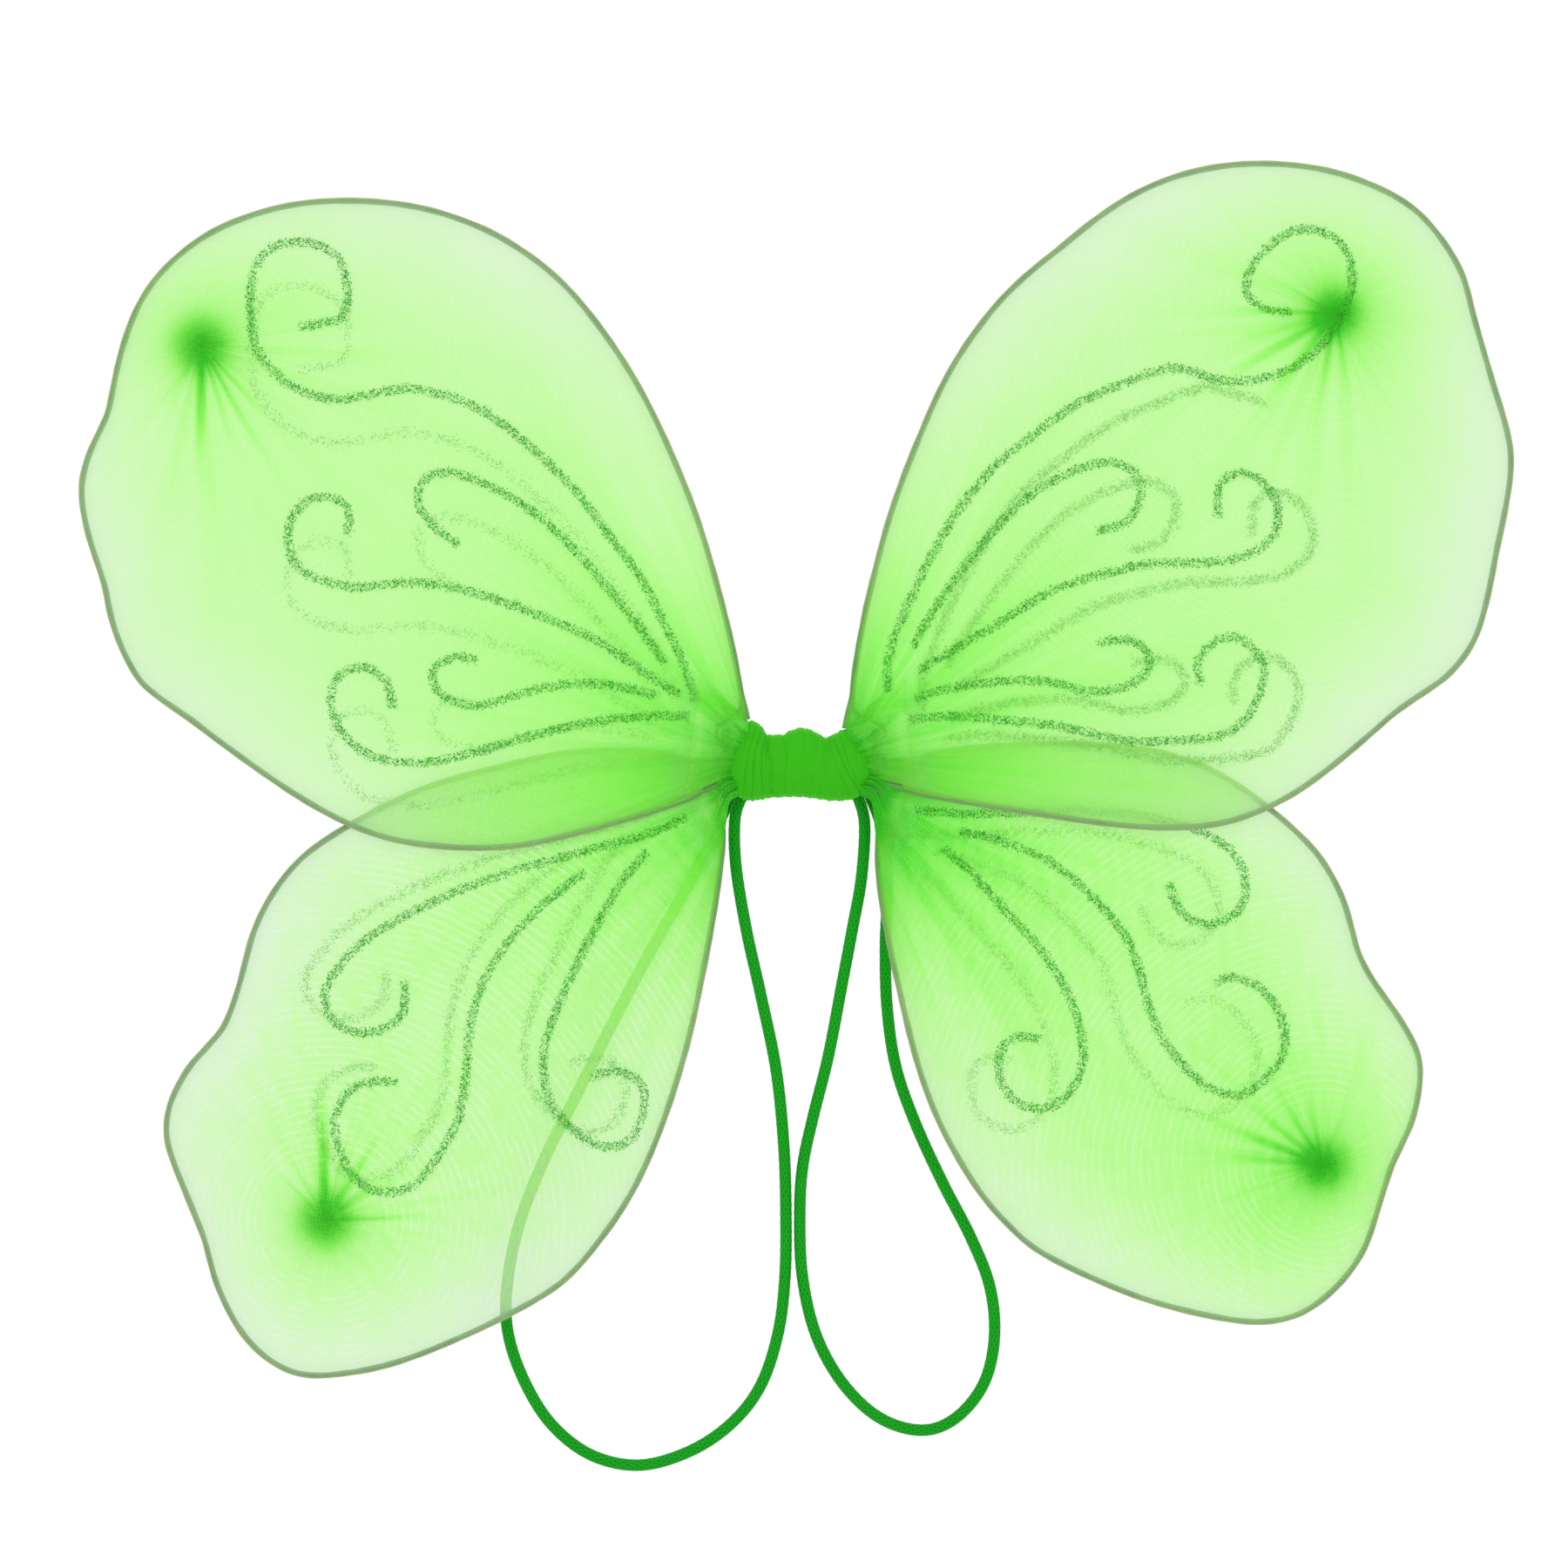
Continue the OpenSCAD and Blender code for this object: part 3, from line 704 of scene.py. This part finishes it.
def cloth_mesh(wing):
    """A flat triangle mesh over the wing: (x, z) points and triangles, finest round its two gathers."""
    outline = wing.wire
    closed = wing.cloth_edge
    near_tip = rings(wing.tip, 0.5 * MM, TIP_ZONE, 0.07, lambda r: max(0.5 * MM, 0.085 * r))
    near_hub = rings(wing.hub, 7 * MM, HUB_ZONE, 0.05, lambda r: max(0.7 * MM, 0.024 * r))
    low, high = outline.min(0), outline.max(0)
    step = 2.6 * MM
    xs = np.arange(low[0], high[0], step)
    zs = np.arange(low[1], high[1], step * 0.866)
    grid = np.array([(x + (k % 2) * step / 2, z) for k, z in enumerate(zs) for x in xs])
    grid = grid[far_from(grid, wing.tip) > TIP_ZONE]
    grid = grid[far_from(grid, wing.hub) > HUB_ZONE]
    far = near_hub[far_from(near_hub, wing.tip) > TIP_ZONE]
    band = offset_outline(outline, side_step(outline, -0.9 * MM))
    band_2 = offset_outline(outline, side_step(outline, -2.0 * MM))
    loose = np.vstack([grid, near_tip, far])
    loose = loose[inside(loose, closed)]
    loose = loose[distance_to(loose, closed) > 2.6 * MM]
    bands = np.vstack([band, band_2])
    bands = bands[inside(bands, closed)]
    points = np.vstack([closed, bands, loose])
    verts, _, faces, _, _, _ = delaunay_2d_cdt(
        [Vector(p) for p in points], [], [list(range(len(closed)))], 1, 1e-6)
    verts = np.array([tuple(v) for v in verts])
    centre = verts[np.array(faces)].mean(axis=1)
    keep = inside(centre, closed)
    return verts, [f for f, k in zip(faces, keep) if k]


def crease(points, centre, lobes, seed):
    """A height from -1 to 1 that depends on the direction from centre alone."""
    d = points - np.array(centre)
    angle = np.arctan2(d[:, 1], d[:, 0])
    turns = np.random.RandomState(seed)
    total = np.zeros(len(points))
    for lobe in lobes:
        total += turns.uniform(0.5, 1) * np.sin(lobe * angle + turns.uniform(0, 6.28))
    return total / len(lobes)


RIM_R = 0.9 * MM
LAYER_GAP = 0.42 * MM           # from the wing's plane to each layer, away from the wire


def layer(wing, flat, triangles, material, front):
    """The front or back layer of one sleeve."""
    edge = distance_to(flat, wing.wire)
    tip_far = far_from(flat, wing.tip)
    hub_far = far_from(flat, wing.hub)
    lift = LAYER_GAP + (RIM_R - LAYER_GAP) * np.exp(-(edge / (4 * MM)) ** 2)
    slack = np.clip(edge / (6 * MM), 0, 1)
    tip_pleats = crease(flat, wing.tip, (7, 11, 17, 23), 3 if front else 5)
    hub_pleats = crease(flat, wing.hub, (37, 53, 71, 94), 7 if front else 9)
    deep = 0.30 * MM if front else 0.55 * MM
    lift = lift + slack * tip_pleats * deep * np.exp(-tip_far / (15 * MM))
    lift = lift + slack * hub_pleats * 0.42 * MM * np.exp(-hub_far / (38 * MM))
    billow = np.sin(flat[:, 0] * 52 + wing.side) * np.sin(flat[:, 1] * 47 + 2.0)
    lift = lift + slack * 0.12 * MM * billow
    lift = np.maximum(lift, 0.12 * MM)
    if wing.upper:
        tail = distance_to(flat, evenly(np.array(TAILS[wing.name]) * MM, 0.4 * MM))
        lift = np.maximum(lift, 0.4 * MM + 0.45 * MM * np.exp(-(tail / (2.2 * MM)) ** 2))
    sign = -1 if front else 1
    if not front:                  # the tuft's neck draws the back layer out into a small cone
        lift = lift + 0.55 * MM * np.exp(-(tip_far / (3.0 * MM)) ** 2)
    verts = np.stack([flat[:, 0], wing.y + sign * lift, flat[:, 1]], axis=1)
    a, b, c = (verts[np.array(triangles)[:, k]] for k in range(3))
    facing = np.cross(b - a, c - a)[:, 1].mean()
    faces = triangles if facing * sign > 0 else [f[::-1] for f in triangles]
    name = f"{wing.name}_{'front' if front else 'back'}_nylon"
    fade = 1 - smooth(distance_to(flat, wing.mouth) / (6.5 * MM))
    obj = mesh_object(name, verts, faces, material, edge=edge, fade=fade)
    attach(obj, wing.body)
    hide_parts(wing.name + "_sleeve")
    return obj


def rim(wing, material):
    """The nylon round the frame wire, with the slight unevenness of cloth drawn over it."""
    line = curve_through(wing.wire, 2)
    if wing.upper:
        outer = [row[2:4] for row in NECKS[wing.name]][2:4]
        run_on = np.array([(wing.side * x, z) for x, z in outer]) * MM
        if np.hypot(*(line[-1] - run_on[1])) < np.hypot(*(line[0] - run_on[1])):
            line = np.vstack([line, run_on[::-1]])
        else:
            line = np.vstack([run_on, line])
    line = evenly(line, 1.0 * MM)
    path = np.stack([line[:, 0], np.full(len(line), wing.y), line[:, 1]], axis=1)
    phases = rng.uniform(0, 6.28, 3)
    def uneven(along, around):
        wander = math.sin(along * 310 + phases[0]) + math.sin(along * 770 + phases[1])
        ridge = math.sin(2 * around + along * 150 + phases[2])
        return 1 + 0.03 * wander + 0.03 * ridge
    verts, faces, along, around = tube_mesh(path, RIM_R * 0.97, 12, uneven)
    outward = np.cos(around) * (1 if side_step(wing.wire, 1) > 0 else -1)
    obj = mesh_object(wing.name + "_rim", verts, faces, material, along=along, around=around, outward=outward)
    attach(obj, wing.body)
    return obj


def tuft(wing, cloth, thread):
    """The sleeve's gathered end behind the tip: a ruffled knob on a thread-bound neck."""
    low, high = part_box(wing.name + "_tuft")
    x, z = wing.tip
    radius = (high.x - low.x) / 2
    depth = high.y - low.y
    profile = [(0.40, 0.0), (0.46, 0.10), (0.44, 0.22), (0.62, 0.36), (0.93, 0.50), (1.0, 0.66),
               (0.88, 0.84), (0.55, 0.95), (0.12, 0.99)]
    rows = curve_through(profile, 4)
    sides = 72
    sections = []
    for r, t in rows:
        section = []
        for k in range(sides):
            a = 2 * math.pi * k / sides
            ruffle = 1 + (0.09 * math.sin(9 * a + 3 * t) + 0.06 * math.sin(17 * a + 1)) * min(1, 2.2 * t)
            lip = 0.05 * math.sin(9 * a + 1.5) * t
            section.append((x + radius * r * ruffle * math.cos(a), low.y + depth * (t + lip * (t < 0.97)),
                            z + radius * r * ruffle * math.sin(a)))
        sections.append(section)
    verts, faces = loft(sections)
    knob = mesh_object(wing.name + "_tuft_cloth", verts, faces, cloth)
    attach(knob, wing.body)
    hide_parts(wing.name + "_tuft")

    tie_low, tie_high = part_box(wing.name + "_tie")
    turns, thread_r = 3, 0.22 * MM
    steps = 36 * turns
    wound = (tie_high.x - tie_low.x) / 2 - thread_r
    path = []
    for i in range(steps + 1):
        a = 2 * math.pi * i / 36
        t = i / steps
        y = tie_low.y + thread_r + t * (tie_high.y - tie_low.y - 2 * thread_r)
        path.append((x + wound * math.cos(a), y, z + wound * math.sin(a)))
    verts, faces, along, around = ring_tube(path, thread_r, 8)
    coil = mesh_object(wing.name + "_tie_thread", verts, faces, thread, along=along, around=around)
    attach(coil, wing.body)
    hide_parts(wing.name + "_tie")


# ---- glitter

# How far the copy that pressed through to the back layer has moved, in mm, and its flecks in a mm2
GHOST_SHIFT = {"upper_left": (0, -12.5), "upper_right": (10, -5.5),
               "lower_left": (-5.5, 4), "lower_right": (-8, -6)}
GHOST_DENSITY = {"upper_left": 2.6, "upper_right": 7.5, "lower_left": 4.4, "lower_right": 3.4}
GHOST_CLEAR = 32 * MM           # the upper right copy ends this far from its star


def scatter(node, per_mm2):
    """Random places on the front faces of a CAD glitter node, as (x, z), and the faces' y."""
    mesh = frame["nodes"][node].data
    mesh.calc_loop_triangles()
    corners = []
    for t in mesh.loop_triangles:
        if t.normal.y < -0.9:
            corners.append([tuple(mesh.vertices[i].co) for i in t.vertices])
    corners = np.array(corners)
    a, b, c = corners[:, 0], corners[:, 1], corners[:, 2]
    areas = 0.5 * np.linalg.norm(np.cross(b - a, c - a), axis=1)
    count = int(areas.sum() / MM ** 2 * per_mm2)
    chosen = rng.choice(len(areas), count, p=areas / areas.sum())
    u, v = rng.uniform(size=(2, count))
    over = u + v > 1
    u[over], v[over] = 1 - u[over], 1 - v[over]
    places = a[chosen] + u[:, None] * (b - a)[chosen] + v[:, None] * (c - a)[chosen]
    return places[:, [0, 2]], places[:, 1].mean()


def flecks(name, places, y, sizes, tilt, material, tints, side=-1):
    """Small square flakes lying in glue on the cloth, each with its own lie."""
    n = len(places)
    spin = rng.uniform(0, 6.28, n)
    lean = rng.normal(0, tilt, (n, 2))
    rise = rng.uniform(0, 1, n) * 0.10 * MM
    verts = np.empty((n, 4, 3))
    for k in range(4):
        a = spin + k * math.pi / 2
        dx, dz = sizes * np.cos(a), sizes * np.sin(a)
        verts[:, k, 0] = places[:, 0] + dx
        verts[:, k, 2] = places[:, 1] + dz
        verts[:, k, 1] = y + side * rise + np.clip(dx * lean[:, 0] + dz * lean[:, 1], -0.12 * MM, 0.12 * MM)
    faces = np.arange(n * 4).reshape(n, 4)
    return mesh_object(name, verts.reshape(-1, 3), faces, material, smooth=False, tint=np.repeat(tints, 4))


def swirls(wing, bright, pale):
    """One wing's glitter lines on the front, and their paler copy on the back layer."""
    node = wing.name + "_glitter"
    places, y = scatter(node, 11.0)
    places = places + rng.normal(0, 0.26 * MM, places.shape)
    clumps = np.sin(places[:, 0] * 2600 + 2 * np.sin(places[:, 1] * 1900)) * np.sin(places[:, 1] * 2300)
    places = places[rng.uniform(size=len(places)) < 0.80 + 0.25 * clumps]
    sizes = rng.uniform(0.11, 0.24, len(places)) * MM
    obj = flecks(node + "_flecks", places, y + 0.12 * MM, sizes, 0.5, bright, rng.uniform(size=len(places)))
    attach(obj, wing.body)
    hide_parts(node)

    # Glue that pressed through onto the back layer: a paler copy, moved as the cloth was turned
    places, y = scatter(node, GHOST_DENSITY[wing.name])
    shift = np.array(GHOST_SHIFT[wing.name]) * MM
    places = places + shift + rng.normal(0, 0.5 * MM, places.shape)
    keep = inside(places, wing.wire) & (distance_to(places, wing.wire) > 3 * MM)
    if wing.name == "upper_right":
        keep &= far_from(places, wing.tip) > GHOST_CLEAR
    places = places[keep]
    sizes = rng.uniform(0.12, 0.24, len(places)) * MM
    tints = rng.uniform(size=len(places))
    ghost = flecks(node + "_ghost", places, wing.y + 0.05 * MM, sizes, 0.25, pale, tints, 1)
    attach(ghost, wing.body)


# ---- hub, necks and elastics

def loft(sections, closed_ends=True):
    """Verts and faces through rings of equal length."""
    count, sides = len(sections), len(sections[0])
    verts = np.vstack(sections)
    faces = []
    for i in range(count - 1):
        for k in range(sides):
            m = (k + 1) % sides
            faces.append((i * sides + k, i * sides + m, (i + 1) * sides + m, (i + 1) * sides + k))
    if closed_ends:
        faces.append(tuple(range(sides - 1, -1, -1)))
        faces.append(tuple((count - 1) * sides + k for k in range(sides)))
    return verts, faces


def wrap_turn(name, nodes, slices, folds, material, seed):
    """One turn of the hub's wrap. slices are (x, lowest z, highest z, half depth) in mm; folds are
    (x where it crosses the top, x at the bottom, depth, width) in mm, as creases round the hub."""
    axis_y = (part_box("binding_tape")[0].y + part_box("binding_tape")[1].y) / 2
    rows = curve_through(slices, 10)
    sides = 120
    turns = np.random.RandomState(seed)
    phases = turns.uniform(0, 6.28, 6)
    angles = 2 * math.pi * np.arange(sides) / sides
    sections, fold_values, lit_values = [], [], []
    for x, bottom_z, top_z, deep in rows:
        mid, high = (top_z + bottom_z) / 2, (top_z - bottom_z) / 2
        up, out = np.sin(angles), np.cos(angles)
        sag = np.zeros(sides)
        for top, bottom, depth, width in folds:
            at = bottom + (top - bottom) * (up + 1) / 2 + 0.35 * np.sin(3 * angles + phases[0])
            sag += depth * np.exp(-((x - at) / width) ** 2)
        ripple = 0.10 * np.sin(2.1 * x + 1.3 * np.sin(2 * angles) + phases[1])
        ripple += 0.07 * np.sin(4.7 * x + 2.0 * up + phases[2])
        grow = 1 - (sag - ripple) / high
        squared = 1 + 0.05 * np.cos(4 * angles)
        z = (mid + high * up * grow * squared) * MM
        y = axis_y + deep * out * grow * squared * MM
        sections.append(np.stack([np.full(sides, x * MM), y, z], axis=1))
        # Painted shade: how far into a fold each point lies, which darkens its colour
        fold_values.append(np.clip(sag / 0.8, 0, 1))
        # Painted backlight glow along the top and bottom of each turn
        lit_values.append(np.clip((np.abs(up) - 0.90) / 0.10, 0, 1) ** 1.5 * 0.75)
    verts, faces = loft(sections)
    obj = mesh_object(name, verts, faces, material,
                      fold=np.concatenate(fold_values), lit=np.concatenate(lit_values))
    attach(obj, "hub")
    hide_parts(*nodes)
    return obj


def neck(wing, ends, material):
    """The sleeve's mouth, bunched over the hinge post and under the wrap, fanning out to the wing.
    ends are (inner x, z, outer x, z, half thickness) in mm, from the hub outwards."""
    rows = curve_through(ends, 12)
    across = 110
    u = np.concatenate([np.linspace(-1, 1, across), np.linspace(1, -1, across)[1:-1]])
    layer_sign = np.concatenate([-np.ones(across), np.ones(across - 2)])
    phases = np.random.RandomState(21 + len(wing.name) + wing.side).uniform(0, 6.28, 5)
    sections, fade, edge, hem = [], [], [], []
    for i, (ax, az, bx, bz, half) in enumerate(rows):
        t = i / (len(rows) - 1)
        round_off = np.sqrt(np.clip(1 - u ** 2, 0, 1)) ** (1 - 0.5 * t)
        pleat = np.sin(11 * u + phases[0]) + 0.8 * np.sin(19 * u + phases[1] + t)
        pleat += 0.7 * np.sin(33 * u + phases[2]) + 0.4 * np.sin(58 * u + phases[3])
        deep = half * round_off * (1 + 0.10 * pleat * (1 - 0.35 * t))
        share = 0.5 + 0.5 * u
        x = wing.side * (ax + (bx - ax) * share) * MM
        z = (az + (bz - az) * share) * MM
        centre_y = axis_of(wing) * (1 - t) + wing.y * t
        y = centre_y + layer_sign * np.maximum(deep, 0.02) * MM
        sections.append(np.stack([x, y, z], axis=1))
        gone = smooth((t - 0.66) / 0.33)
        inner = smooth((-0.80 - u) / 0.2) * smooth((t - 0.50) / 0.3) if wing.upper else 0 * u
        fade.append(np.maximum(np.full(len(u), gone), inner))
        edge.append(np.full(len(u), 14 * MM))
        hem.append(smooth((u - 0.93) / 0.03) * (1.0 if wing.upper else 0.3) * smooth((t - 0.3) / 0.15))
    verts, faces = loft(sections, closed_ends=False)
    obj = mesh_object(wing.name + "_neck", verts, faces, material, edge=np.concatenate(edge),
                      fade=np.concatenate(fade), hem=np.concatenate(hem))
    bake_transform(obj)
    return obj


def axis_of(wing):
    """The y of the post that this wing's side turns on."""
    joint = [j for j in frame["joints"] if j["name"] == ("left_fold" if wing.side < 0 else "right_fold")][0]
    return joint["pos_m"][1]


def elastic_piece(name, route, node, knot, material, side):
    """One arm loop of round elastic, and the knot that closes it."""
    route = np.array(route) * MM
    line = evenly(curve_through(route, 24), 0.8 * MM)
    def braid(along, around):
        turn = along * 2 * math.pi / BRAID_PITCH
        return 1 + 0.018 * max(math.sin(turn + 8 * around), math.sin(turn - 8 * around)) - 0.01
    verts, faces, along, around = tube_mesh(line, ELASTIC_D / 2, 24, braid)
    obj = mesh_object(name, verts, faces, material, along=along, around=around)
    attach(obj, "hub")
    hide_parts(node)

    low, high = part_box(knot)
    centre = np.array((low + high) / 2)
    reach = (high.x - low.x) / 2
    path = []
    for i in range(121):          # an overhand knot drawn up tight
        a = 2 * math.pi * i / 120
        ring = 0.50 + 0.10 * math.cos(3 * a)
        turn = [ring * math.cos(2 * a) * side, 0.40 * math.sin(3 * a), ring * math.sin(2 * a)]
        path.append(centre + reach * np.array(turn))
    kv, kf, ka, kr = ring_tube(path, reach * 0.36, 20)
    lump = mesh_object(name + "_tied_knot", kv, kf, material, along=ka, around=kr)
    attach(lump, "hub")
    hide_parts(knot)
    return obj


# ---- build

elastic_material = braided_elastic()
elastic_piece("left_arm_elastic", LEFT_ROUTE, "elastic_left", "elastic_knot_left", elastic_material, -1)
elastic_piece("right_arm_elastic", RIGHT_ROUTE, "elastic_right", "elastic_knot_right", elastic_material, 1)

rim_material = covered_rim()
tuft_material = gathered_cloth()
thread_material = wound_thread()
bright_glitter = glitter("glitter_front", light=(0.045, 0.56, 0.022, 1), dark=(0.010, 0.24, 0.007, 1),
                         brass=(0.16, 0.34, 0.01, 1))
pale_glitter = glitter("glitter_ghost", light=(0.04, 0.55, 0.02, 1), dark=(0.02, 0.34, 0.01, 1),
                       brass=(0.16, 0.42, 0.02, 1))
WEAVE = {"upper_left": -32, "upper_right": 38, "lower_left": 12, "lower_right": -20}

# Where each neck runs under the wrap and over its post: (inner x, z, outer x, z, half thickness)
NECKS = {
    "upper_left": [(12.8, 9.8, 13.5, -5, 4.4), (15.6, 13.2, 18.5, -4.4, 4.2), (18.6, 16.2, 21.8, -4.8, 3.8),
                   (23.2, 20.5, 26.2, -6.6, 2.9), (29, 27, 33, -9.6, 1.9), (35, 34, 42, -12.4, 1.3)],
    "upper_right": [(12, 8.2, 13.5, -5, 4.4), (13.6, 11.2, 18.5, -4.2, 4.2), (17, 14.6, 21.8, -4.7, 3.8),
                    (22.3, 19.5, 26.2, -5.7, 2.9), (29, 26.5, 33, -7.6, 1.9), (35, 34, 42, -9.8, 1.3)],
    "lower_left": [(13, -7.5, 14, 1, 4.2), (17, -8.8, 18.5, 0.5, 4.0), (20.3, -10.8, 22.5, 1, 3.6),
                   (21.4, -17, 27.5, 2, 2.7), (22.9, -26, 35, 2.6, 1.9), (25, -38, 44, 3.4, 1.3)],
    "lower_right": [(13, -7.5, 14, 1, 4.2), (17, -8.8, 18.5, 0.5, 4.0), (20.3, -10.8, 22.5, 1, 3.6),
                    (21.3, -18, 27.5, 2, 2.7), (22.6, -28, 35, 2.6, 1.9), (24.8, -42, 44, 3.8, 1.3)],
}

# Dye depths, the star's radius in mm, and each star's long creases:
# (direction in degrees, half width mm, reach mm, strength)
LOOKS = {
    "upper_left": dict(
        top=1.0, arcs=0.08, main=-60, inner=0.36, tip_near=0.5, tip_wide=1.0,
        hub_near=1.9, hub_wide=2.1, star_r=6.6, weave=0.08,
        rays=[
        (-91, 1.5, 26, 1.5), (-72, 0.7, 22, 0.6), (-61, 0.8, 24, 0.7), (-47, 0.8, 20, 0.5),
        (-33, 0.9, 16, 0.4), (-122, 1.0, 16, 0.5), (-140, 0.7, 12, 0.4), (4, 1.2, 10, 0.4)]),
    "upper_right": dict(
        top=1.0, arcs=0.12, main=-140, inner=0.44, tip_near=1.2, tip_wide=0.8,
        hub_near=2.0, hub_wide=2.0, star_r=5.8, weave=0.08,
        rays=[
        (-150, 1.5, 26, 1.0), (-128, 1.2, 26, 0.8), (-100, 1.0, 20, 0.7), (178, 0.9, 22, 0.7),
        (-80, 0.8, 16, 0.5), (-165, 1.0, 24, 0.6), (150, 0.8, 14, 0.4)]),
    "lower_left": dict(
        top=0.8, arcs=0.40, main=60, inner=0.46, tip_near=0.6, tip_wide=0.45,
        hub_near=4.8, hub_wide=1.6, star_r=6.2, weave=0.45,
        rays=[
        (92, 1.6, 28, 1.7), (58, 1.4, 26, 0.9), (3, 0.8, 24, 0.9), (38, 0.8, 20, 0.6), (75, 0.7, 22, 0.5),
        (18, 0.7, 16, 0.4), (135, 0.8, 12, 0.4)]),
    "lower_right": dict(
        top=0.8, arcs=0.28, main=140, inner=0.52, tip_near=0.6, tip_wide=1.5,
        hub_near=6.6, hub_wide=1.9, star_r=5.4, weave=0.38,
        rays=[
        (158, 1.2, 26, 1.1), (140, 1.0, 24, 0.8), (122, 1.0, 20, 0.7), (100, 0.9, 16, 0.5),
        (175, 1.0, 24, 0.7), (-170, 0.8, 16, 0.4)]),
}

for wing in WINGS:
    flat, triangles = cloth_mesh(wing)
    look, angle = LOOKS[wing.name], WEAVE[wing.name]
    front_cloth = nylon(wing.name + "_front_cloth", look, wing.tip, wing.hub, angle, 1.8, 0.7)
    back_cloth = nylon(wing.name + "_back_cloth", look, wing.tip, wing.hub, angle + 9, 2.3, 1.3)
    neck_cloth = nylon(wing.name + "_neck_cloth", look, wing.tip, wing.hub, angle, 0.0, 0.8, 0.5)
    layer(wing, flat, triangles, front_cloth, True)
    layer(wing, flat, triangles, back_cloth, False)
    rim(wing, rim_material)
    tuft(wing, tuft_material, thread_material)
    swirls(wing, bright_glitter, pale_glitter)
    neck(wing, NECKS[wing.name], neck_cloth)

wrap_material = stretch_wrap()
# Each turn's outline seen from the front: (x, lowest z, highest z, half depth) in mm
COLLAR = [(-20, -5, 2, 3.4), (-19, -7, 6, 5.0), (-17.8, -8.7, 8.2, 6.1), (-16, -9.6, 10.6, 6.8),
          (-14.2, -9.8, 12.1, 7.0), (-12.6, -9.7, 11.8, 7.0), (-11, -9.5, 10.4, 6.8), (-9.8, -9.2, 8.6, 6.3),
          (-8.8, -8.4, 7.2, 5.6)]
MIDDLE = [(-11, -8.6, 7.4, 5.8), (-9.6, -9.1, 8.2, 6.2), (-5.2, -8.9, 8.3, 6.4), (-3.4, -8.8, 9.2, 6.6),
          (0, -8.8, 10.2, 6.9), (3.2, -9.1, 9.5, 6.8), (6, -9.5, 8.0, 6.5), (8, -9.6, 7.1, 6.2),
          (9.6, -9.3, 6.6, 5.8)]
LOBE = [(5.8, -9.2, 6.9, 5.8), (7.4, -9.8, 7.4, 6.3), (10, -9.9, 8.7, 6.8), (12.7, -9.8, 9.7, 7.0),
        (15, -9.4, 8.9, 6.8), (17.2, -8.4, 7.0, 6.0), (18.8, -6.8, 4.8, 4.8), (19.8, -4.8, 2.0, 3.3)]
wrap_turn("wrap_collar", ["hub_wrap_left"], COLLAR,
          [(-13.2, -17.0, 0.26, 0.28), (-11.6, -14.4, 0.30, 0.24), (-15.2, -18.6, 0.18, 0.3),
           (-10.4, -11.4, 0.30, 0.22)], wrap_material, 31)
wrap_turn("wrap_middle", ["hub_wrap_centre"], MIDDLE,
          [(-9.9, -8.0, 0.42, 0.20), (-9.2, -7.2, 0.24, 0.16), (-4.6, -4.2, 0.22, 0.20)], wrap_material, 32)
wrap_turn("wrap_right", ["hub_wrap_right"], LOBE,
          [(8.6, 17.0, 0.30, 0.26), (10.6, 18.2, 0.24, 0.24), (7.4, 14.0, 0.18, 0.22)], wrap_material, 33)

wire_material = drawn_wire()
bare = {"binding_tape": cloth_tape(), "core_wire": wire_material}
bare.update({w.name + "_frame": wire_material for w in WINGS})
for node, material in bare.items():
    frame["nodes"][node].data.materials.clear()
    frame["nodes"][node].data.materials.append(material)

# ---- stage and light

stage_mesh = bpy.data.meshes.new("floor")
FLOOR_Z, FLOOR_R = -0.36, 1.15
turns = [math.radians(5 * k) for k in range(72)]
ring = [(FLOOR_R * math.cos(a), FLOOR_R * math.sin(a), FLOOR_Z) for a in turns]
stage_mesh.from_pydata(ring, [], [tuple(range(72))])
floor_nodes = Nodes("pale_floor")
stage_mesh.materials.append(floor_nodes.finish(principled(floor_nodes, (0.94, 0.95, 0.94, 1), 0.7)))
floor = bpy.data.objects.new("floor", stage_mesh)
bpy.context.scene.collection.objects.link(floor)

world = bpy.data.worlds.new("studio")
bpy.context.scene.world = world
world.use_nodes = True
world.node_tree.nodes["Background"].inputs[0].default_value = (1, 1, 1, 1)
world.node_tree.nodes["Background"].inputs[1].default_value = 1.0


def soft_light(name, place, aim, size, power):
    """A square area light that looks at aim."""
    data = bpy.data.lights.new(name, "AREA")
    data.size, data.energy = size, power
    obj = bpy.data.objects.new(name, data)
    obj.location = place
    obj.rotation_euler = (Vector(aim) - Vector(place)).to_track_quat("-Z", "Y").to_euler()
    bpy.context.scene.collection.objects.link(obj)


soft_light("key", (-1.2, -1.6, 1.5), (0, 0, 0), 1.0, 6)
soft_light("fill", (1.6, -1.2, 0.4), (0, 0, 0), 1.4, 2)
soft_light("behind", (0.4, 1.8, 0.9), (0, 0, 0), 1.6, 3)

scene = bpy.context.scene
scene.view_settings.view_transform = "Standard"
scene.cycles.transparent_max_bounces = 32
